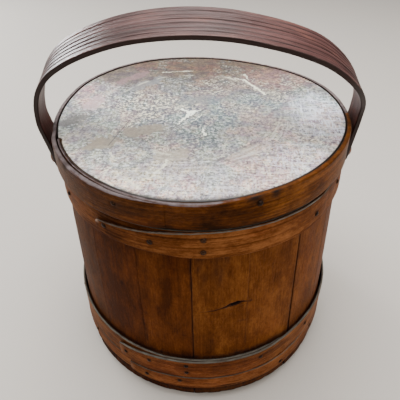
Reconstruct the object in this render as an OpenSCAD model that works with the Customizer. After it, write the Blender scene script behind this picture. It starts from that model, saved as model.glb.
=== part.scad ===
// Lidded wooden firkin bucket, built up from its pieces.
// Millimetres, +Z up. The origin is the centre of the ring of stave ends
// that the bucket stands on, -Y is the front, +X is the side of one peg.

/* [Body] */
// Outer radius of the staves at the floor
base_r = 171.3; // [168:0.1:173]
// Radius that the body loses for each millimetre of height
taper = 0.05; // [0.045:0.001:0.052]
// Height of the staves
stave_h = 291; // [288:0.5:292]
// Thickness of a stave
stave_t = 12; // [10:0.5:13]
// Number of staves in the ring
stave_n = 18; // [18:1:18]
// Bearing of the first joint between staves, degrees from +X
seam_az = 266.3; // [264:0.1:268]

/* [Bottom] */
// Height of the underside of the bottom board above the floor
bottom_z = 17; // [14:0.5:20]
// Thickness of the bottom board
bottom_t = 11; // [9:0.5:12]
// Depth of the groove that holds the bottom board
croze_d = 4; // [3:0.5:5]

/* [Hoops] */
// Thickness of one layer of a hoop
hoop_t = 2.9; // [2.6:0.1:3.4]
// Lower edge of the top hoop
top_hoop_z = 243.5; // [242:0.5:244]
// Width of the top hoop
top_hoop_w = 30.5; // [27:0.5:30.5]
// Lower edge of the lower hoop
lower_hoop_z = 48.5; // [48:0.5:50]
// Width of the lower hoop
lower_hoop_w = 32; // [30:0.5:34]
// Lower edge of the foot hoop
foot_hoop_z = 25; // [23:0.5:25]
// Width of the foot hoop
foot_hoop_w = 21.5; // [19:0.5:22]

/* [Lid] */
// Height of the top edge of the lid band above the floor
lid_z = 304; // [303.6:0.1:305]
// Thickness of the lid board
lid_board_t = 12; // [11.5:0.1:12.2]
// Height of the lid band
lid_band_h = 28; // [26:0.5:29]
// Thickness of one layer of the lid band
lid_band_t = 4.6; // [4:0.1:4.8]
// Gap between the lid band and the staves
lid_gap = 0.45; // [0.4:0.05:0.8]

/* [Handle] */
// Height of the pivot pegs above the floor
pivot_z = 254; // [252:0.5:256]
// How far the pivot pegs sit in front of the centre
pivot_y = -5; // [-7:0.5:0]
// Angle that the handle leans forward as it stands
lean = 12.7; // [8:0.1:16]
// Thickness of the bent handle strap
strap_t = 5.2; // [4.8:0.1:5.4]
// Width of the handle at the top of the bow
strap_w = 49; // [44:1:52]
// Width of the handle at the pegs
leg_w = 29; // [27:1:31]
// Height of the top of the bow above the pivots
crown_h = 159; // [157:0.5:161]
// Height above the pivots at which the left leg begins to bend
bend_l = 37; // [33:0.5:41]
// The same for the right leg
bend_r = 34.5; // [31:0.5:39]
// Fullness of the left shoulder, from 0.5 square to 1 round
full_l = 0.69; // [0.6:0.01:0.8]
// The same for the right shoulder
full_r = 0.68; // [0.6:0.01:0.8]

/* [Pegs] */
// Radius of the peg shank
peg_r = 6.3; // [6:0.05:6.5]
// Clearance between the peg and the bore of the handle
peg_gap = 0.06; // [0.03:0.01:0.1]
// Radius of the peg head
peg_head_r = 9.5; // [9:0.1:10]

/* [Tacks] */
// Radius of a tack head
tack_head_r = 2.4; // [2:0.1:2.8]
// Radius of a tack shank
tack_r = 0.8; // [0.7:0.05:1]
// Length of a tack shank
tack_len = 12; // [10:0.5:13]

/* [Hidden] */
$fn = 96;
fit = 0.12;
seam_step = 360 / stave_n;
leg_x = 168.3;

// outer radius of the staves at height z
function rs(z) = base_r - taper * z;

// One shoulder of the bow, from the top of its leg to the crown: a quarter
// of a superellipse, on the side sd, that starts at height b
function shoulder(sd, b, flat, full, n = 11) = [for (i = [0 : n])
    let (t = 90 * pow(i / n, 1.3)) [sd * leg_x * pow(cos(t), flat), b + (crown_h - b) * pow(sin(t), full)]];

// The centreline of the bow, pivots at h = 0, x across and h upward: two
// straight legs and two shoulders that meet at the crown. It is a little
// fuller on the left, as bent by hand, so the right shoulder is less flat.
bow = concat(
    [[-leg_x, -15], [-leg_x, 8]], shoulder(-1, bend_l, 1.03, full_l),
    [for (i = [10 : -1 : 0]) shoulder(1, bend_r, 1.11, full_r)[i]],
    [[leg_x, 8], [leg_x, -15]]
);

// point on a Catmull-Rom curve through p, between points i and i + 1
function cr(p, i, t) =
    let (n = len(p) - 1,
         a = p[max(i - 1, 0)], b = p[i], c = p[min(i + 1, n)], d = p[min(i + 2, n)])
    0.5 * (2 * b + (c - a) * t + (2 * a - 5 * b + 4 * c - d) * t * t
           + (3 * b - a - 3 * c + d) * t * t * t);
function curve(p, k) = [for (i = [0 : len(p) - 2]) for (j = [0 : k - 1]) cr(p, i, j / k), p[len(p) - 1]];
function unit(v) = v / norm(v);
// the curve moved sideways by e
function side(c, e) = [for (i = [0 : len(c) - 1])
    let (d = unit(c[min(i + 1, len(c) - 1)] - c[max(i - 1, 0)])) c[i] + e * [-d[1], d[0]]];
function rev(v) = [for (i = [len(v) - 1 : -1 : 0]) v[i]];

// ------------------------------------------------------------ helpers

// ring between two cones, from z0 to z1, over the angles a0 to a0 + a
module ring(z0, z1, ri0, ri1, ro0, ro1, a0 = 0, a = 360, e = 0.6) {
    rotate([0, 0, a0])
        rotate_extrude(angle = a, $fn = 180)
            polygon([
                [ri0, z0], [ro0 - e, z0], [ro0, z0 + e],
                [ro1, z1 - e], [ro1 - e, z1], [ri1, z1]
            ]);
}

// cuts the upper corner off the end of a lap: az is the bearing of the cut's
// middle, r the radius, z its height there, s its slope in degrees
module lap_cut(az, r, z, s, l = 150) {
    rotate([0, 0, az]) translate([r, 0, z]) rotate([s, 0, 0])
        translate([-12, -l / 2, 0]) cube([30, l, 30]);
}

// a hoop: one closed layer and, over the lap, a second one
module hoop(z, w, g0, g1, a0, a1) {
    z1 = z + w;
    ri0 = rs(z) + g0; ri1 = rs(z1) + g1;
    union() {
        ring(z, z1, ri0, ri1, ri0 + hoop_t, ri1 + hoop_t);
        // the outer layer reaches a little into the inner one, as one strip
        difference() {
            ring(z, z1, ri0 + hoop_t - 0.8, ri1 + hoop_t - 0.8,
                 ri0 + 2 * hoop_t, ri1 + 2 * hoop_t, a0, a1 - a0);
            children();
        }
    }
}

// one tack, driven inward at bearing az and height z into a surface of
// radius r whose wall leans by the body's taper
module tack(az, z, r) {
    rotate([0, 0, az]) translate([r, 0, z]) rotate([0, 90 - atan(taper), 0]) {
        rotate_extrude($fn = 32) polygon([
            [0, -tack_len], [0.25, -tack_len], [tack_r, -tack_len + 2.5], [tack_r, 0],
            [tack_head_r, 0], [tack_head_r, 0.35], [1.7, 0.85], [0.8, 1.1], [0, 1.15]
        ]);
    }
}

// bore for the pegs through the wall, on both sides
module peg_bores(r) {
    translate([0, pivot_y, pivot_z]) rotate([0, 90, 0])
        cylinder(r = r, h = 500, center = true, $fn = 48);
}

// ------------------------------------------------------------ body

// stave number k of the ring, counted from the first joint
module stave(k) {
    z1 = stave_h;
    c0 = bottom_z - 0.1; c1 = bottom_z + bottom_t + 0.1;
    a0 = seam_az + k * seam_step;
    difference() {
        rotate([0, 0, a0])
            rotate_extrude(angle = seam_step, $fn = 180)
                polygon([
                    // outer face, bottom to top
                    [rs(0) - 1.5, 0], [rs(1.5), 1.5],
                    [rs(z1 - 1), z1 - 1], [rs(z1) - 1, z1],
                    // inner face, top to bottom
                    [rs(z1) - stave_t + 1, z1], [rs(z1 - 1) - stave_t, z1 - 1],
                    [rs(c1) - stave_t, c1], [rs(c1) - stave_t + croze_d, c1 - 2.2],
                    [rs(c0) - stave_t + croze_d, c0 + 2.2], [rs(c0) - stave_t, c0],
                    [rs(3) - stave_t, 3], [rs(0) - stave_t + 3, 0]
                ]);
        // the pegs go through the two side staves
        if (k == 4 || k == 13) peg_bores(peg_r + 0.02);
    }
}

module stave_piece(k) {
    color([0.56 + 0.03 * sin(k * 97), 0.31 + 0.02 * sin(k * 61), 0.10]) stave(k);
}

module bottom_board() {
    r0 = rs(bottom_z) - stave_t; r1 = rs(bottom_z + bottom_t) - stave_t;
    color([0.62, 0.44, 0.24])
        rotate_extrude($fn = 180)
            polygon([
                [0, bottom_z], [r0 - 0.6, bottom_z], [r0 + croze_d - 0.3, bottom_z + 2.4],
                [r1 + croze_d - 0.3, bottom_z + bottom_t - 2.4], [r1 - 0.6, bottom_z + bottom_t],
                [0, bottom_z + bottom_t]
            ]);
}

module top_hoop() {
    color([0.62, 0.36, 0.13])
        difference() {
            hoop(top_hoop_z, top_hoop_w, fit, fit, 232, 320)
                lap_cut(244, rs(top_hoop_z) + hoop_t + fit + 6, top_hoop_z + top_hoop_w - 6.5, 4.9, 110);
            peg_bores(peg_r + 0.02);
        }
}

module lower_hoop() {
    color([0.55, 0.32, 0.14])
        hoop(lower_hoop_z, lower_hoop_w, 0.4, 1.7, 234, 302)
            lap_cut(243, rs(lower_hoop_z) + hoop_t + 1 + 6, lower_hoop_z + lower_hoop_w - 3.5, 4.5, 80);
}

module foot_hoop() {
    color([0.58, 0.34, 0.14])
        hoop(foot_hoop_z, foot_hoop_w, fit, fit, 238, 308)
            lap_cut(246, rs(foot_hoop_z) + hoop_t + fit + 6, foot_hoop_z + foot_hoop_w - 3.5, 4.5, 80);
}

// surface radius of a hoop at height z, with n layers
function hr(z, n, g = fit) = rs(z) + g + n * hoop_t;

// bearing, height and layers of each tack
top_tacks = [
    [236.3, 260, 2], [253.6, 259, 2], [270.5, 266, 2], [270.4, 251.5, 2],
    [312.4, 255.6, 2], [330, 263, 1], [18, 258, 1], [58, 259, 1], [98, 257, 1],
    [138, 259, 1], [168, 262, 1], [212, 258, 1]
];
lower_tacks = [
    [237.3, 64, 2], [248.2, 68.6, 2], [263, 72.4, 2], [263, 58.4, 2], [292.2, 69.2, 2],
    [318, 65, 1], [355, 66, 1], [35, 64, 1], [75, 67, 1], [115, 65, 1], [155, 64, 1], [195, 66, 1]
];
foot_tacks = [
    [246.1, 34.5, 2], [260, 38.6, 2], [303, 31, 2], [325, 36, 1], [8, 35, 1],
    [50, 37, 1], [92, 36, 1], [134, 35, 1], [176, 36, 1], [214, 35, 1]
];
lid_tacks = [
    [242.3, 293, 2], [288, 297, 1], [350, 296, 1], [14, 295, 1], [48, 296, 1],
    [84, 295, 1], [118, 296, 1], [150, 295, 1], [180, 296, 1]
];

module top_hoop_tacks() {
    color([0.16, 0.13, 0.11]) for (t = top_tacks) tack(t[0], t[1], hr(t[1], t[2]));
}

module lower_hoop_tacks() {
    color([0.16, 0.13, 0.11])
        for (t = lower_tacks) tack(t[0], t[1], hr(t[1], t[2], 0.4 + 1.3 * (t[1] - lower_hoop_z) / lower_hoop_w));
}

module foot_hoop_tacks() {
    color([0.16, 0.13, 0.11]) for (t = foot_tacks) tack(t[0], t[1], hr(t[1], t[2]));
}

// ------------------------------------------------------------ pegs

module peg(s) {
    x1 = leg_x + strap_t / 2 + 0.35;
    translate([0, pivot_y, pivot_z]) rotate([0, 90 * s, 0])
        rotate_extrude($fn = 48) polygon([
            [0, 143.5], [peg_r - 1, 143.5], [peg_r, 144.5], [peg_r, x1],
            [peg_head_r, x1], [peg_head_r, x1 + 1.4], [peg_head_r - 0.9, x1 + 3.6],
            [peg_head_r - 2.9, x1 + 5.3], [peg_head_r - 5.6, x1 + 6.3], [0, x1 + 6.8]
        ]);
}

module right_peg() { color([0.36, 0.18, 0.09]) peg(1); }
module left_peg() { color([0.36, 0.18, 0.09]) peg(-1); }

// ------------------------------------------------------------ lid

// inner radius of the lid band at height z
function lr(z) = rs(z) + lid_gap;

module lid_board() {
    z1 = lid_z - 0.6; z0 = z1 - lid_board_t;
    color([0.66, 0.63, 0.61])
        rotate_extrude($fn = 180)
            polygon([
                [0, z0], [lr(z0) - 0.15, z0], [lr(z1 - 1) - 0.15, z1 - 1],
                [lr(z1) - 1.15, z1], [0, z1]
            ]);
}

module lid_band() {
    z0 = lid_z - lid_band_h; z1 = lid_z;
    color([0.45, 0.26, 0.13])
        union() {
            ring(z0, z1, lr(z0), lr(z1), lr(z0) + lid_band_t, lr(z1) + lid_band_t, e = 1);
            ring(z0, z1, lr(z0) + lid_band_t - 0.8, lr(z1) + lid_band_t - 0.8,
                 lr(z0) + 1.8 * lid_band_t, lr(z1) + 1.8 * lid_band_t, 199, 60, e = 1);
        }
}

module lid_band_tacks() {
    color([0.16, 0.13, 0.11])
        for (t = lid_tacks) tack(t[0], t[1], lr(t[1]) + (t[2] == 2 ? 1.8 : 1) * lid_band_t);
}

// ------------------------------------------------------------ handle

// outline of the bow seen from the front
module bow_outline() {
    c = curve(bow, 4);
    polygon(concat(side(c, strap_t / 2), rev(side(c, -strap_t / 2))));
}

// outline of the bow seen from the side: wide at the top, narrow and
// rounded at the pegs
module bow_side() {
    a = leg_w / 2; b = strap_w / 2;
    polygon(concat(
        [for (i = [0 : 16]) let (t = 180 + i * 180 / 16) [a * cos(t), a * sin(t)]],
        [[a, 66], [a + 0.12 * (b - a), 76], [a + 0.36 * (b - a), 88], [a + 0.66 * (b - a), 101],
         [a + 0.9 * (b - a), 114], [b, 126], [b, 175], [-b, 175], [-b, 126],
         [-a - 0.9 * (b - a), 114], [-a - 0.66 * (b - a), 101], [-a - 0.36 * (b - a), 88],
         [-a - 0.12 * (b - a), 76], [-a, 66]]
    ));
}

module handle() {
    color([0.36, 0.20, 0.17])
        translate([0, pivot_y, pivot_z]) rotate([lean, 0, 0])
            difference() {
                intersection() {
                    rotate([90, 0, 0]) linear_extrude(height = 80, center = true) bow_outline();
                    rotate([90, 0, 90]) linear_extrude(height = 400, center = true) bow_side();
                }
                rotate([0, 90, 0])
                    cylinder(r = peg_r + peg_gap, h = 500, center = true, $fn = 48);
            }
}

stave_piece(0);  // stave_01
stave_piece(1);  // stave_02
stave_piece(2);  // stave_03
stave_piece(3);  // stave_04
stave_piece(4);  // stave_05
stave_piece(5);  // stave_06
stave_piece(6);  // stave_07
stave_piece(7);  // stave_08
stave_piece(8);  // stave_09
stave_piece(9);  // stave_10
stave_piece(10);  // stave_11
stave_piece(11);  // stave_12
stave_piece(12);  // stave_13
stave_piece(13);  // stave_14
stave_piece(14);  // stave_15
stave_piece(15);  // stave_16
stave_piece(16);  // stave_17
stave_piece(17);  // stave_18
bottom_board();
top_hoop();
lower_hoop();
foot_hoop();
top_hoop_tacks();
lower_hoop_tacks();
foot_hoop_tacks();
right_peg();
left_peg();
lid_board();
lid_band();
lid_band_tacks();
handle();
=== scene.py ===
import math

import bpy
import numpy as np
from mathutils import Matrix, Vector
from mathutils.kdtree import KDTree


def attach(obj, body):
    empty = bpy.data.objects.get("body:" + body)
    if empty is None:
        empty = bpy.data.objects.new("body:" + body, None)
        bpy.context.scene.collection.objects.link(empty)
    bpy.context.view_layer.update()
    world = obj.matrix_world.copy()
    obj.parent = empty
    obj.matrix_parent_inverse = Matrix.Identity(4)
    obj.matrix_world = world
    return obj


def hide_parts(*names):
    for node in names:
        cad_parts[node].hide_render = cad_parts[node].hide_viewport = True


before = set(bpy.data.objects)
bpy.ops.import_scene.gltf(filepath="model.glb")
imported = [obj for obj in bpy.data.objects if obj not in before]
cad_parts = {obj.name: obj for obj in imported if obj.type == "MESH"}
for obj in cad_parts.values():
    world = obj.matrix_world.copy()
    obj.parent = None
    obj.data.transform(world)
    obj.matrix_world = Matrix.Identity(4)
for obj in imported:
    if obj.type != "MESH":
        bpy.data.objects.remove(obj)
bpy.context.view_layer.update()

# Everything below is in millimetres until a mesh is made. Bearings are in
# degrees, 0 towards +X and 270 towards the front. +Z is up.
MM = 0.001
PI = math.pi

# ---------------------------------------------------------------- numbers
BASE_R, TAPER = 171.3, 0.05
STAVE_H, STAVE_T, SEAM = 291.0, 12.0, 266.3
HOOP_T, FIT = 2.9, 0.12
LID_Z, LID_GAP, BAND_T = 304.0, 0.45, 4.6
PIVOT_Z, PIVOT_Y, LEAN = 254.0, -5.0, 12.7


def rs(z):
    return BASE_R - TAPER * z


def rad(a):
    return np.radians(a)


def sstep(x, a, b):
    t = np.clip((np.asarray(x, float) - a) / (b - a), 0, 1)
    return t * t * (3 - 2 * t)


def wrap(a):
    """an angle brought to -180 to 180"""
    return (np.asarray(a, float) + 180.0) % 360.0 - 180.0


def lobe(a, centre, half):
    """a smooth bump of one on a bearing, nothing beyond half degrees of it"""
    t = np.clip(np.abs(wrap(a - centre)) / half, 0, 1)
    return 0.5 + 0.5 * np.cos(t * PI)


# ---------------------------------------------------------------- noise
def lattice(i, j, k, seed):
    h = (i * 73856093) ^ (j * 19349663) ^ (k * 83492791) ^ (seed * 2654435761)
    h = h & 0xFFFFFFFF
    for _ in range(2):
        h = (((h >> 16) ^ h) * 0x45D9F3B) & 0xFFFFFFFF
    h = (h >> 16) ^ h
    return h / 2147483647.5 - 1.0


def noise(x, y=0.0, z=0.0, seed=0):
    """smooth noise from -1 to 1"""
    x, y, z = np.broadcast_arrays(np.asarray(x, float), np.asarray(y, float), np.asarray(z, float))
    i, j, k = (np.floor(v).astype(np.int64) for v in (x, y, z))
    u, v, w = (s * s * s * (s * (s * 6 - 15) + 10) for s in (x - i, y - j, z - k))
    out = 0.0
    for a in (0, 1):
        for b in (0, 1):
            for c in (0, 1):
                share = (u if a else 1 - u) * (v if b else 1 - v) * (w if c else 1 - w)
                out = out + share * lattice(i + a, j + b, k + c, seed)
    return out


def fbm(x, y=0.0, z=0.0, seed=0, octaves=3):
    out, amp, total = 0.0, 1.0, 0.0
    for o in range(octaves):
        out = out + amp * noise(np.asarray(x) * 2 ** o, np.asarray(y) * 2 ** o, np.asarray(z) * 2 ** o, seed + 17 * o)
        total += amp
        amp *= 0.5
    return out / total


def around(pairs):
    """smooth closed curve through (bearing, value) pairs"""
    xs = np.array([p[0] for p in pairs], float)
    ys = np.array([p[1] for p in pairs], float)
    n = len(xs)
    grid = np.arange(0, 360, 1.0)
    out = np.zeros(360)
    for i in range(n):
        x1, x2 = xs[i], xs[(i + 1) % n] + (360 if i == n - 1 else 0)
        x0, x3 = xs[i - 1] - (360 if i == 0 else 0), xs[(i + 2) % n] + (360 if i >= n - 2 else 0)
        y0, y1, y2, y3 = ys[i - 1], ys[i], ys[(i + 1) % n], ys[(i + 2) % n]
        m1, m2 = (y2 - y0) / (x2 - x0), (y3 - y1) / (x3 - x1)
        for g in np.concatenate([grid, grid + 360]):
            if x1 <= g < x2:
                t, w = (g - x1) / (x2 - x1), x2 - x1
                out[int(g) % 360] = ((2 * t ** 3 - 3 * t * t + 1) * y1 + (t ** 3 - 2 * t * t + t) * w * m1
                                     + (3 * t * t - 2 * t ** 3) * y2 + (t ** 3 - t * t) * w * m2)
    ring = np.concatenate([out[-3:], out, out[:4]])
    return lambda az: np.interp(np.asarray(az, float) % 360, np.arange(-3, 364), ring)


# the bucket has gone out of round with age: pulled in at the left, fuller behind
ROUND = around([(0, 1.0), (20, 1.0), (45, 0.0), (62, -0.9), (90, 1.0), (110, 3.0), (130, 3.8), (150, 2.4), (165, -1.0), (180, -3.0), (203, -3.6),
                (225, -2.0), (240, -0.8), (255, 0.0), (300, 0.1), (330, 0.3), (345, 0.8)])
# the top edge of the lid leans in or out
LEAN_TOP = around([(0, 0.5), (30, 0.0), (150, 0.0), (235, 0.0), (252, 0.3), (262, 1.0), (271, 1.1), (279, -0.4), (287, -1.9), (296, -2.3), (308, -2.1), (320, -1.4),
                   (333, -0.2), (347, 0.7)])
# the lid has warped: high behind on the left and at the right, low behind on the right
WARP = around([(0, 1.2), (20, 1.5), (30, 0.9), (60, -0.9), (90, 0.4), (120, 2.9), (150, 2.9), (180, 0.5), (205, 0.0), (240, -0.2), (270, -0.5), (300, 0.2),
               (330, 0.5), (345, 0.9)])


def bulge(az, z):
    z = np.asarray(z, float)
    share = np.interp(z, (0, 80, 150, 205, 240, 400), (0.0, 0.60, 0.65, 0.70, 1.0, 1.0))
    return ROUND(az) * share + 0.3 * noise(np.cos(rad(az)) * 1.3, np.sin(rad(az)) * 1.3, 0, 5) * sstep(z, 10, 120)


def lift(az, r):
    return WARP(az) * np.clip(np.asarray(r, float) / 160.0, 0, 1.1) ** 2


def top_lean(az, z):
    return LEAN_TOP(az) * sstep(z, 282, 304)


# ---------------------------------------------------------------- meshes
class Geo:
    """collects grids and caps into one mesh, with the values painted on its points"""

    def __init__(self):
        self.points, self.faces, self.rings, self.n = [], [], [], 0
        self.attrs = {"gc": [], "mk": [], "tn": []}
        self.mats, self.ring_mats = [], []
        self.shells, self.start = [], (0, 0)

    def grid(self, P, gc, mk=None, tn=None, closed_u=False, closed_v=False, mat=0):
        nu, nv = P.shape[:2]
        ids = self.n + np.arange(nu * nv).reshape(nu, nv)
        self.points.append(P.reshape(-1, 3))
        self.n += nu * nv
        for key, val in (("gc", gc), ("mk", mk), ("tn", tn)):
            a = np.zeros((nu, nv, 3)) if val is None else np.broadcast_to(val, (nu, nv, 3))
            self.attrs[key].append(a.reshape(-1, 3))
        iu = np.arange(nu if closed_u else nu - 1)
        iv = np.arange(nv if closed_v else nv - 1)
        ju, jv = (iu + 1) % nu, (iv + 1) % nv
        q = np.stack([ids[np.ix_(iu, iv)], ids[np.ix_(ju, iv)], ids[np.ix_(ju, jv)], ids[np.ix_(iu, jv)]], -1)
        self.faces.append(q.reshape(-1, 4))
        self.mats.append(np.full(len(q.reshape(-1, 4)), mat))
        return ids

    def cap(self, ring, mat=0):
        self.rings.append(list(int(i) for i in ring))
        self.ring_mats.append(mat)

    def close(self):
        """turns what was added since the last call so that its faces look outward"""
        f0, r0 = self.start
        pts = np.concatenate(self.points)
        vol = 0.0
        for q in self.faces[f0:]:
            a, b, c, d = (pts[q[:, i]] for i in range(4))
            vol += (np.einsum("ij,ij->i", a, np.cross(b, c)) + np.einsum("ij,ij->i", a, np.cross(c, d))).sum()
        for ring in self.rings[r0:]:
            p = pts[ring]
            for i in range(1, len(ring) - 1):
                vol += float(np.dot(p[0], np.cross(p[i], p[i + 1])))
        if vol < 0:
            for i in range(f0, len(self.faces)):
                self.faces[i] = self.faces[i][:, ::-1]
            for i in range(r0, len(self.rings)):
                self.rings[i] = self.rings[i][::-1]
        self.start = (len(self.faces), len(self.rings))

    def make(self, name, nodes, body, materials, sharp=34.0):
        pts = np.concatenate(self.points) * MM
        quads = np.concatenate(self.faces) if self.faces else np.zeros((0, 4), int)
        loops = np.concatenate([quads.reshape(-1)] + [np.array(r) for r in self.rings]).astype(np.int32)
        sizes = np.concatenate([np.full(len(quads), 4)] + [np.array([len(r)]) for r in self.rings])
        starts = np.concatenate([[0], np.cumsum(sizes)[:-1]]).astype(np.int32)
        me = bpy.data.meshes.new(name)
        me.vertices.add(len(pts))
        me.vertices.foreach_set("co", pts.astype(np.float32).reshape(-1))
        me.loops.add(len(loops))
        me.loops.foreach_set("vertex_index", loops)
        me.polygons.add(len(starts))
        me.polygons.foreach_set("loop_start", starts)
        for m in materials:
            me.materials.append(m)
        index = np.concatenate(self.mats + [np.array(self.ring_mats, int)]).astype(np.int32)
        me.polygons.foreach_set("material_index", index)
        me.update(calc_edges=True)
        me.validate()
        for key, parts in self.attrs.items():
            a = me.attributes.new(key, "FLOAT_VECTOR", "POINT")
            a.data.foreach_set("vector", np.concatenate(parts).astype(np.float32).reshape(-1))
        me.shade_smooth()
        me.set_sharp_from_angle(angle=math.radians(sharp))
        ob = bpy.data.objects.new(name, me)
        bpy.context.scene.collection.objects.link(ob)
        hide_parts(*nodes)
        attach(ob, body)
        return ob


def bore(ob, radius):
    """cuts the pegs' hole, which runs from side to side through the pivot"""
    ang = np.linspace(0, 2 * PI, 48, endpoint=False)
    ring = [(PIVOT_Y + radius * math.cos(a), PIVOT_Z + radius * math.sin(a)) for a in ang]
    pts = [(x * MM, y * MM, z * MM) for x in (-200.0, 200.0) for y, z in ring]
    n = len(ring)
    faces = [(i, (i + 1) % n, n + (i + 1) % n, n + i) for i in range(n)]
    faces += [tuple(range(n))[::-1], tuple(range(n, 2 * n))]
    me = bpy.data.meshes.new("cutter")
    me.from_pydata(pts, [], faces)
    cutter = bpy.data.objects.new("cutter", me)
    bpy.context.scene.collection.objects.link(cutter)
    mod = ob.modifiers.new("bore", "BOOLEAN")
    mod.operation, mod.solver, mod.object = "DIFFERENCE", "EXACT", cutter
    bpy.context.view_layer.update()
    graph = bpy.context.evaluated_depsgraph_get()
    cut = bpy.data.meshes.new_from_object(ob.evaluated_get(graph), preserve_all_data_layers=True, depsgraph=graph)
    ob.modifiers.clear()
    old, ob.data = ob.data, cut
    # the cut drops the painted values, so each point takes them back from the point that it was
    tree = KDTree(len(old.vertices))
    for v in old.vertices:
        tree.insert(v.co, v.index)
    tree.balance()
    was = np.array([tree.find(v.co)[1] for v in cut.vertices])
    for key in ("gc", "mk", "tn"):
        values = np.zeros(len(old.vertices) * 3, np.float32)
        old.attributes[key].data.foreach_get("vector", values)
        if key in cut.attributes:
            cut.attributes.remove(cut.attributes[key])
        cut.attributes.new(key, "FLOAT_VECTOR", "POINT").data.foreach_set("vector", values.reshape(-1, 3)[was].reshape(-1))
    bpy.data.meshes.remove(old)
    bpy.data.objects.remove(cutter)
    bpy.data.meshes.remove(me)
    cut.name = ob.name
    cut.shade_smooth()
    cut.set_sharp_from_angle(angle=math.radians(50))


def polar(r, az, z):
    r, az, z = np.broadcast_arrays(np.asarray(r, float), np.asarray(az, float), np.asarray(z, float))
    return np.stack([r * np.cos(rad(az)), r * np.sin(rad(az)), z], -1)


def vec(x, y, z):
    x, y, z = np.broadcast_arrays(np.asarray(x, float), np.asarray(y, float), np.asarray(z, float))
    return np.stack([x, y, z], -1)


# ---------------------------------------------------------------- materials
def srgb(r, g, b):
    out = []
    for c in (r, g, b):
        c = c / 255.0
        out.append(c / 12.92 if c <= 0.04045 else ((c + 0.055) / 1.055) ** 2.4)
    return (out[0], out[1], out[2], 1.0)


class Mat:
    def __init__(self, name):
        self.m = bpy.data.materials.new(name)
        self.m.use_nodes = True
        self.t = self.m.node_tree
        self.t.nodes.clear()
        out = self.t.nodes.new("ShaderNodeOutputMaterial")
        self.b = self.t.nodes.new("ShaderNodeBsdfPrincipled")
        self.t.links.new(self.b.outputs[0], out.inputs[0])

    def put(self, socket, value):
        if isinstance(value, bpy.types.NodeSocket):
            self.t.links.new(value, socket)
        elif value is not None:
            if hasattr(socket.default_value, "__len__") and not hasattr(value, "__len__"):
                value = [value] * len(socket.default_value)
            socket.default_value = value

    def math(self, op, a, b=None, c=None, clamp=False):
        n = self.t.nodes.new("ShaderNodeMath")
        n.operation, n.use_clamp = op, clamp
        for s, v in zip(n.inputs, (a, b, c)):
            self.put(s, v)
        return n.outputs[0]

    def vmul(self, a, b):
        n = self.t.nodes.new("ShaderNodeVectorMath")
        n.operation = "MULTIPLY"
        self.put(n.inputs[0], a)
        self.put(n.inputs[1], b)
        return n.outputs[0]

    def vadd(self, a, b):
        n = self.t.nodes.new("ShaderNodeVectorMath")
        n.operation = "ADD"
        self.put(n.inputs[0], a)
        self.put(n.inputs[1], b)
        return n.outputs[0]

    def noise(self, v, scale=1.0, detail=3.0, rough=0.55, distort=0.0):
        n = self.t.nodes.new("ShaderNodeTexNoise")
        n.noise_dimensions = "3D"
        self.put(n.inputs["Vector"], v)
        n.inputs["Scale"].default_value = scale
        n.inputs["Detail"].default_value = detail
        n.inputs["Roughness"].default_value = rough
        n.inputs["Distortion"].default_value = distort
        return n.outputs[0]

    def cells(self, v, scale=1.0, feature="F1"):
        n = self.t.nodes.new("ShaderNodeTexVoronoi")
        n.feature = feature
        self.put(n.inputs["Vector"], v)
        n.inputs["Scale"].default_value = scale
        return n.outputs[0]

    def attr(self, name):
        n = self.t.nodes.new("ShaderNodeAttribute")
        n.attribute_type = "GEOMETRY"
        n.attribute_name = name
        return n.outputs["Vector"]

    def sep(self, v):
        n = self.t.nodes.new("ShaderNodeSeparateXYZ")
        self.put(n.inputs[0], v)
        return n.outputs

    def comb(self, x, y, z):
        n = self.t.nodes.new("ShaderNodeCombineXYZ")
        for s, v in zip(n.inputs, (x, y, z)):
            self.put(s, v)
        return n.outputs[0]

    def mix(self, fac, a, b, blend="MIX"):
        n = self.t.nodes.new("ShaderNodeMix")
        n.data_type, n.blend_type = "RGBA", blend
        n.clamp_factor = True
        self.put(n.inputs[0], fac)
        self.put(n.inputs[6], a)
        self.put(n.inputs[7], b)
        return n.outputs[2]

    def ramp(self, fac, stops, interp="LINEAR"):
        n = self.t.nodes.new("ShaderNodeValToRGB")
        n.color_ramp.interpolation = interp
        e = n.color_ramp.elements
        while len(e) < len(stops):
            e.new(0.5)
        for el, (p, c) in zip(e, stops):
            el.position, el.color = p, c
        self.put(n.inputs[0], fac)
        return n.outputs[0]

    def span(self, v, a, b, c=0.0, d=1.0, smooth=True):
        n = self.t.nodes.new("ShaderNodeMapRange")
        n.interpolation_type = "SMOOTHSTEP" if smooth else "LINEAR"
        n.clamp = True
        for s, x in zip(n.inputs, (v, a, b, c, d)):
            self.put(s, x)
        return n.outputs[0]

    def bump(self, height, strength, distance, normal=None):
        n = self.t.nodes.new("ShaderNodeBump")
        n.inputs["Strength"].default_value = strength
        n.inputs["Distance"].default_value = distance
        self.put(n.inputs["Height"], height)
        if normal is not None:
            self.put(n.inputs["Normal"], normal)
        return n.outputs[0]

    def grey(self, v):
        return self.comb(v, v, v)

    def near(self, x, y, ax, ay, bx, by, half, soft):
        """one close to the line from a to b, nothing further than half plus soft"""
        lx, ly = bx - ax, by - ay
        l2 = lx * lx + ly * ly
        dx, dy = self.math("SUBTRACT", x, ax), self.math("SUBTRACT", y, ay)
        dot = self.math("ADD", self.math("MULTIPLY", dx, lx / l2), self.math("MULTIPLY", dy, ly / l2), clamp=True)
        ex = self.math("SUBTRACT", dx, self.math("MULTIPLY", dot, lx))
        ey = self.math("SUBTRACT", dy, self.math("MULTIPLY", dot, ly))
        d = self.math("SQRT", self.math("ADD", self.math("MULTIPLY", ex, ex), self.math("MULTIPLY", ey, ey)))
        return self.span(d, half, half + soft, 1.0, 0.0)


def lin(r, g, b):
    return (r, g, b, 1.0)


def scaled(c, k):
    return tuple(min(1.0, v * k) for v in c[:3]) + (1.0,)


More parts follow.
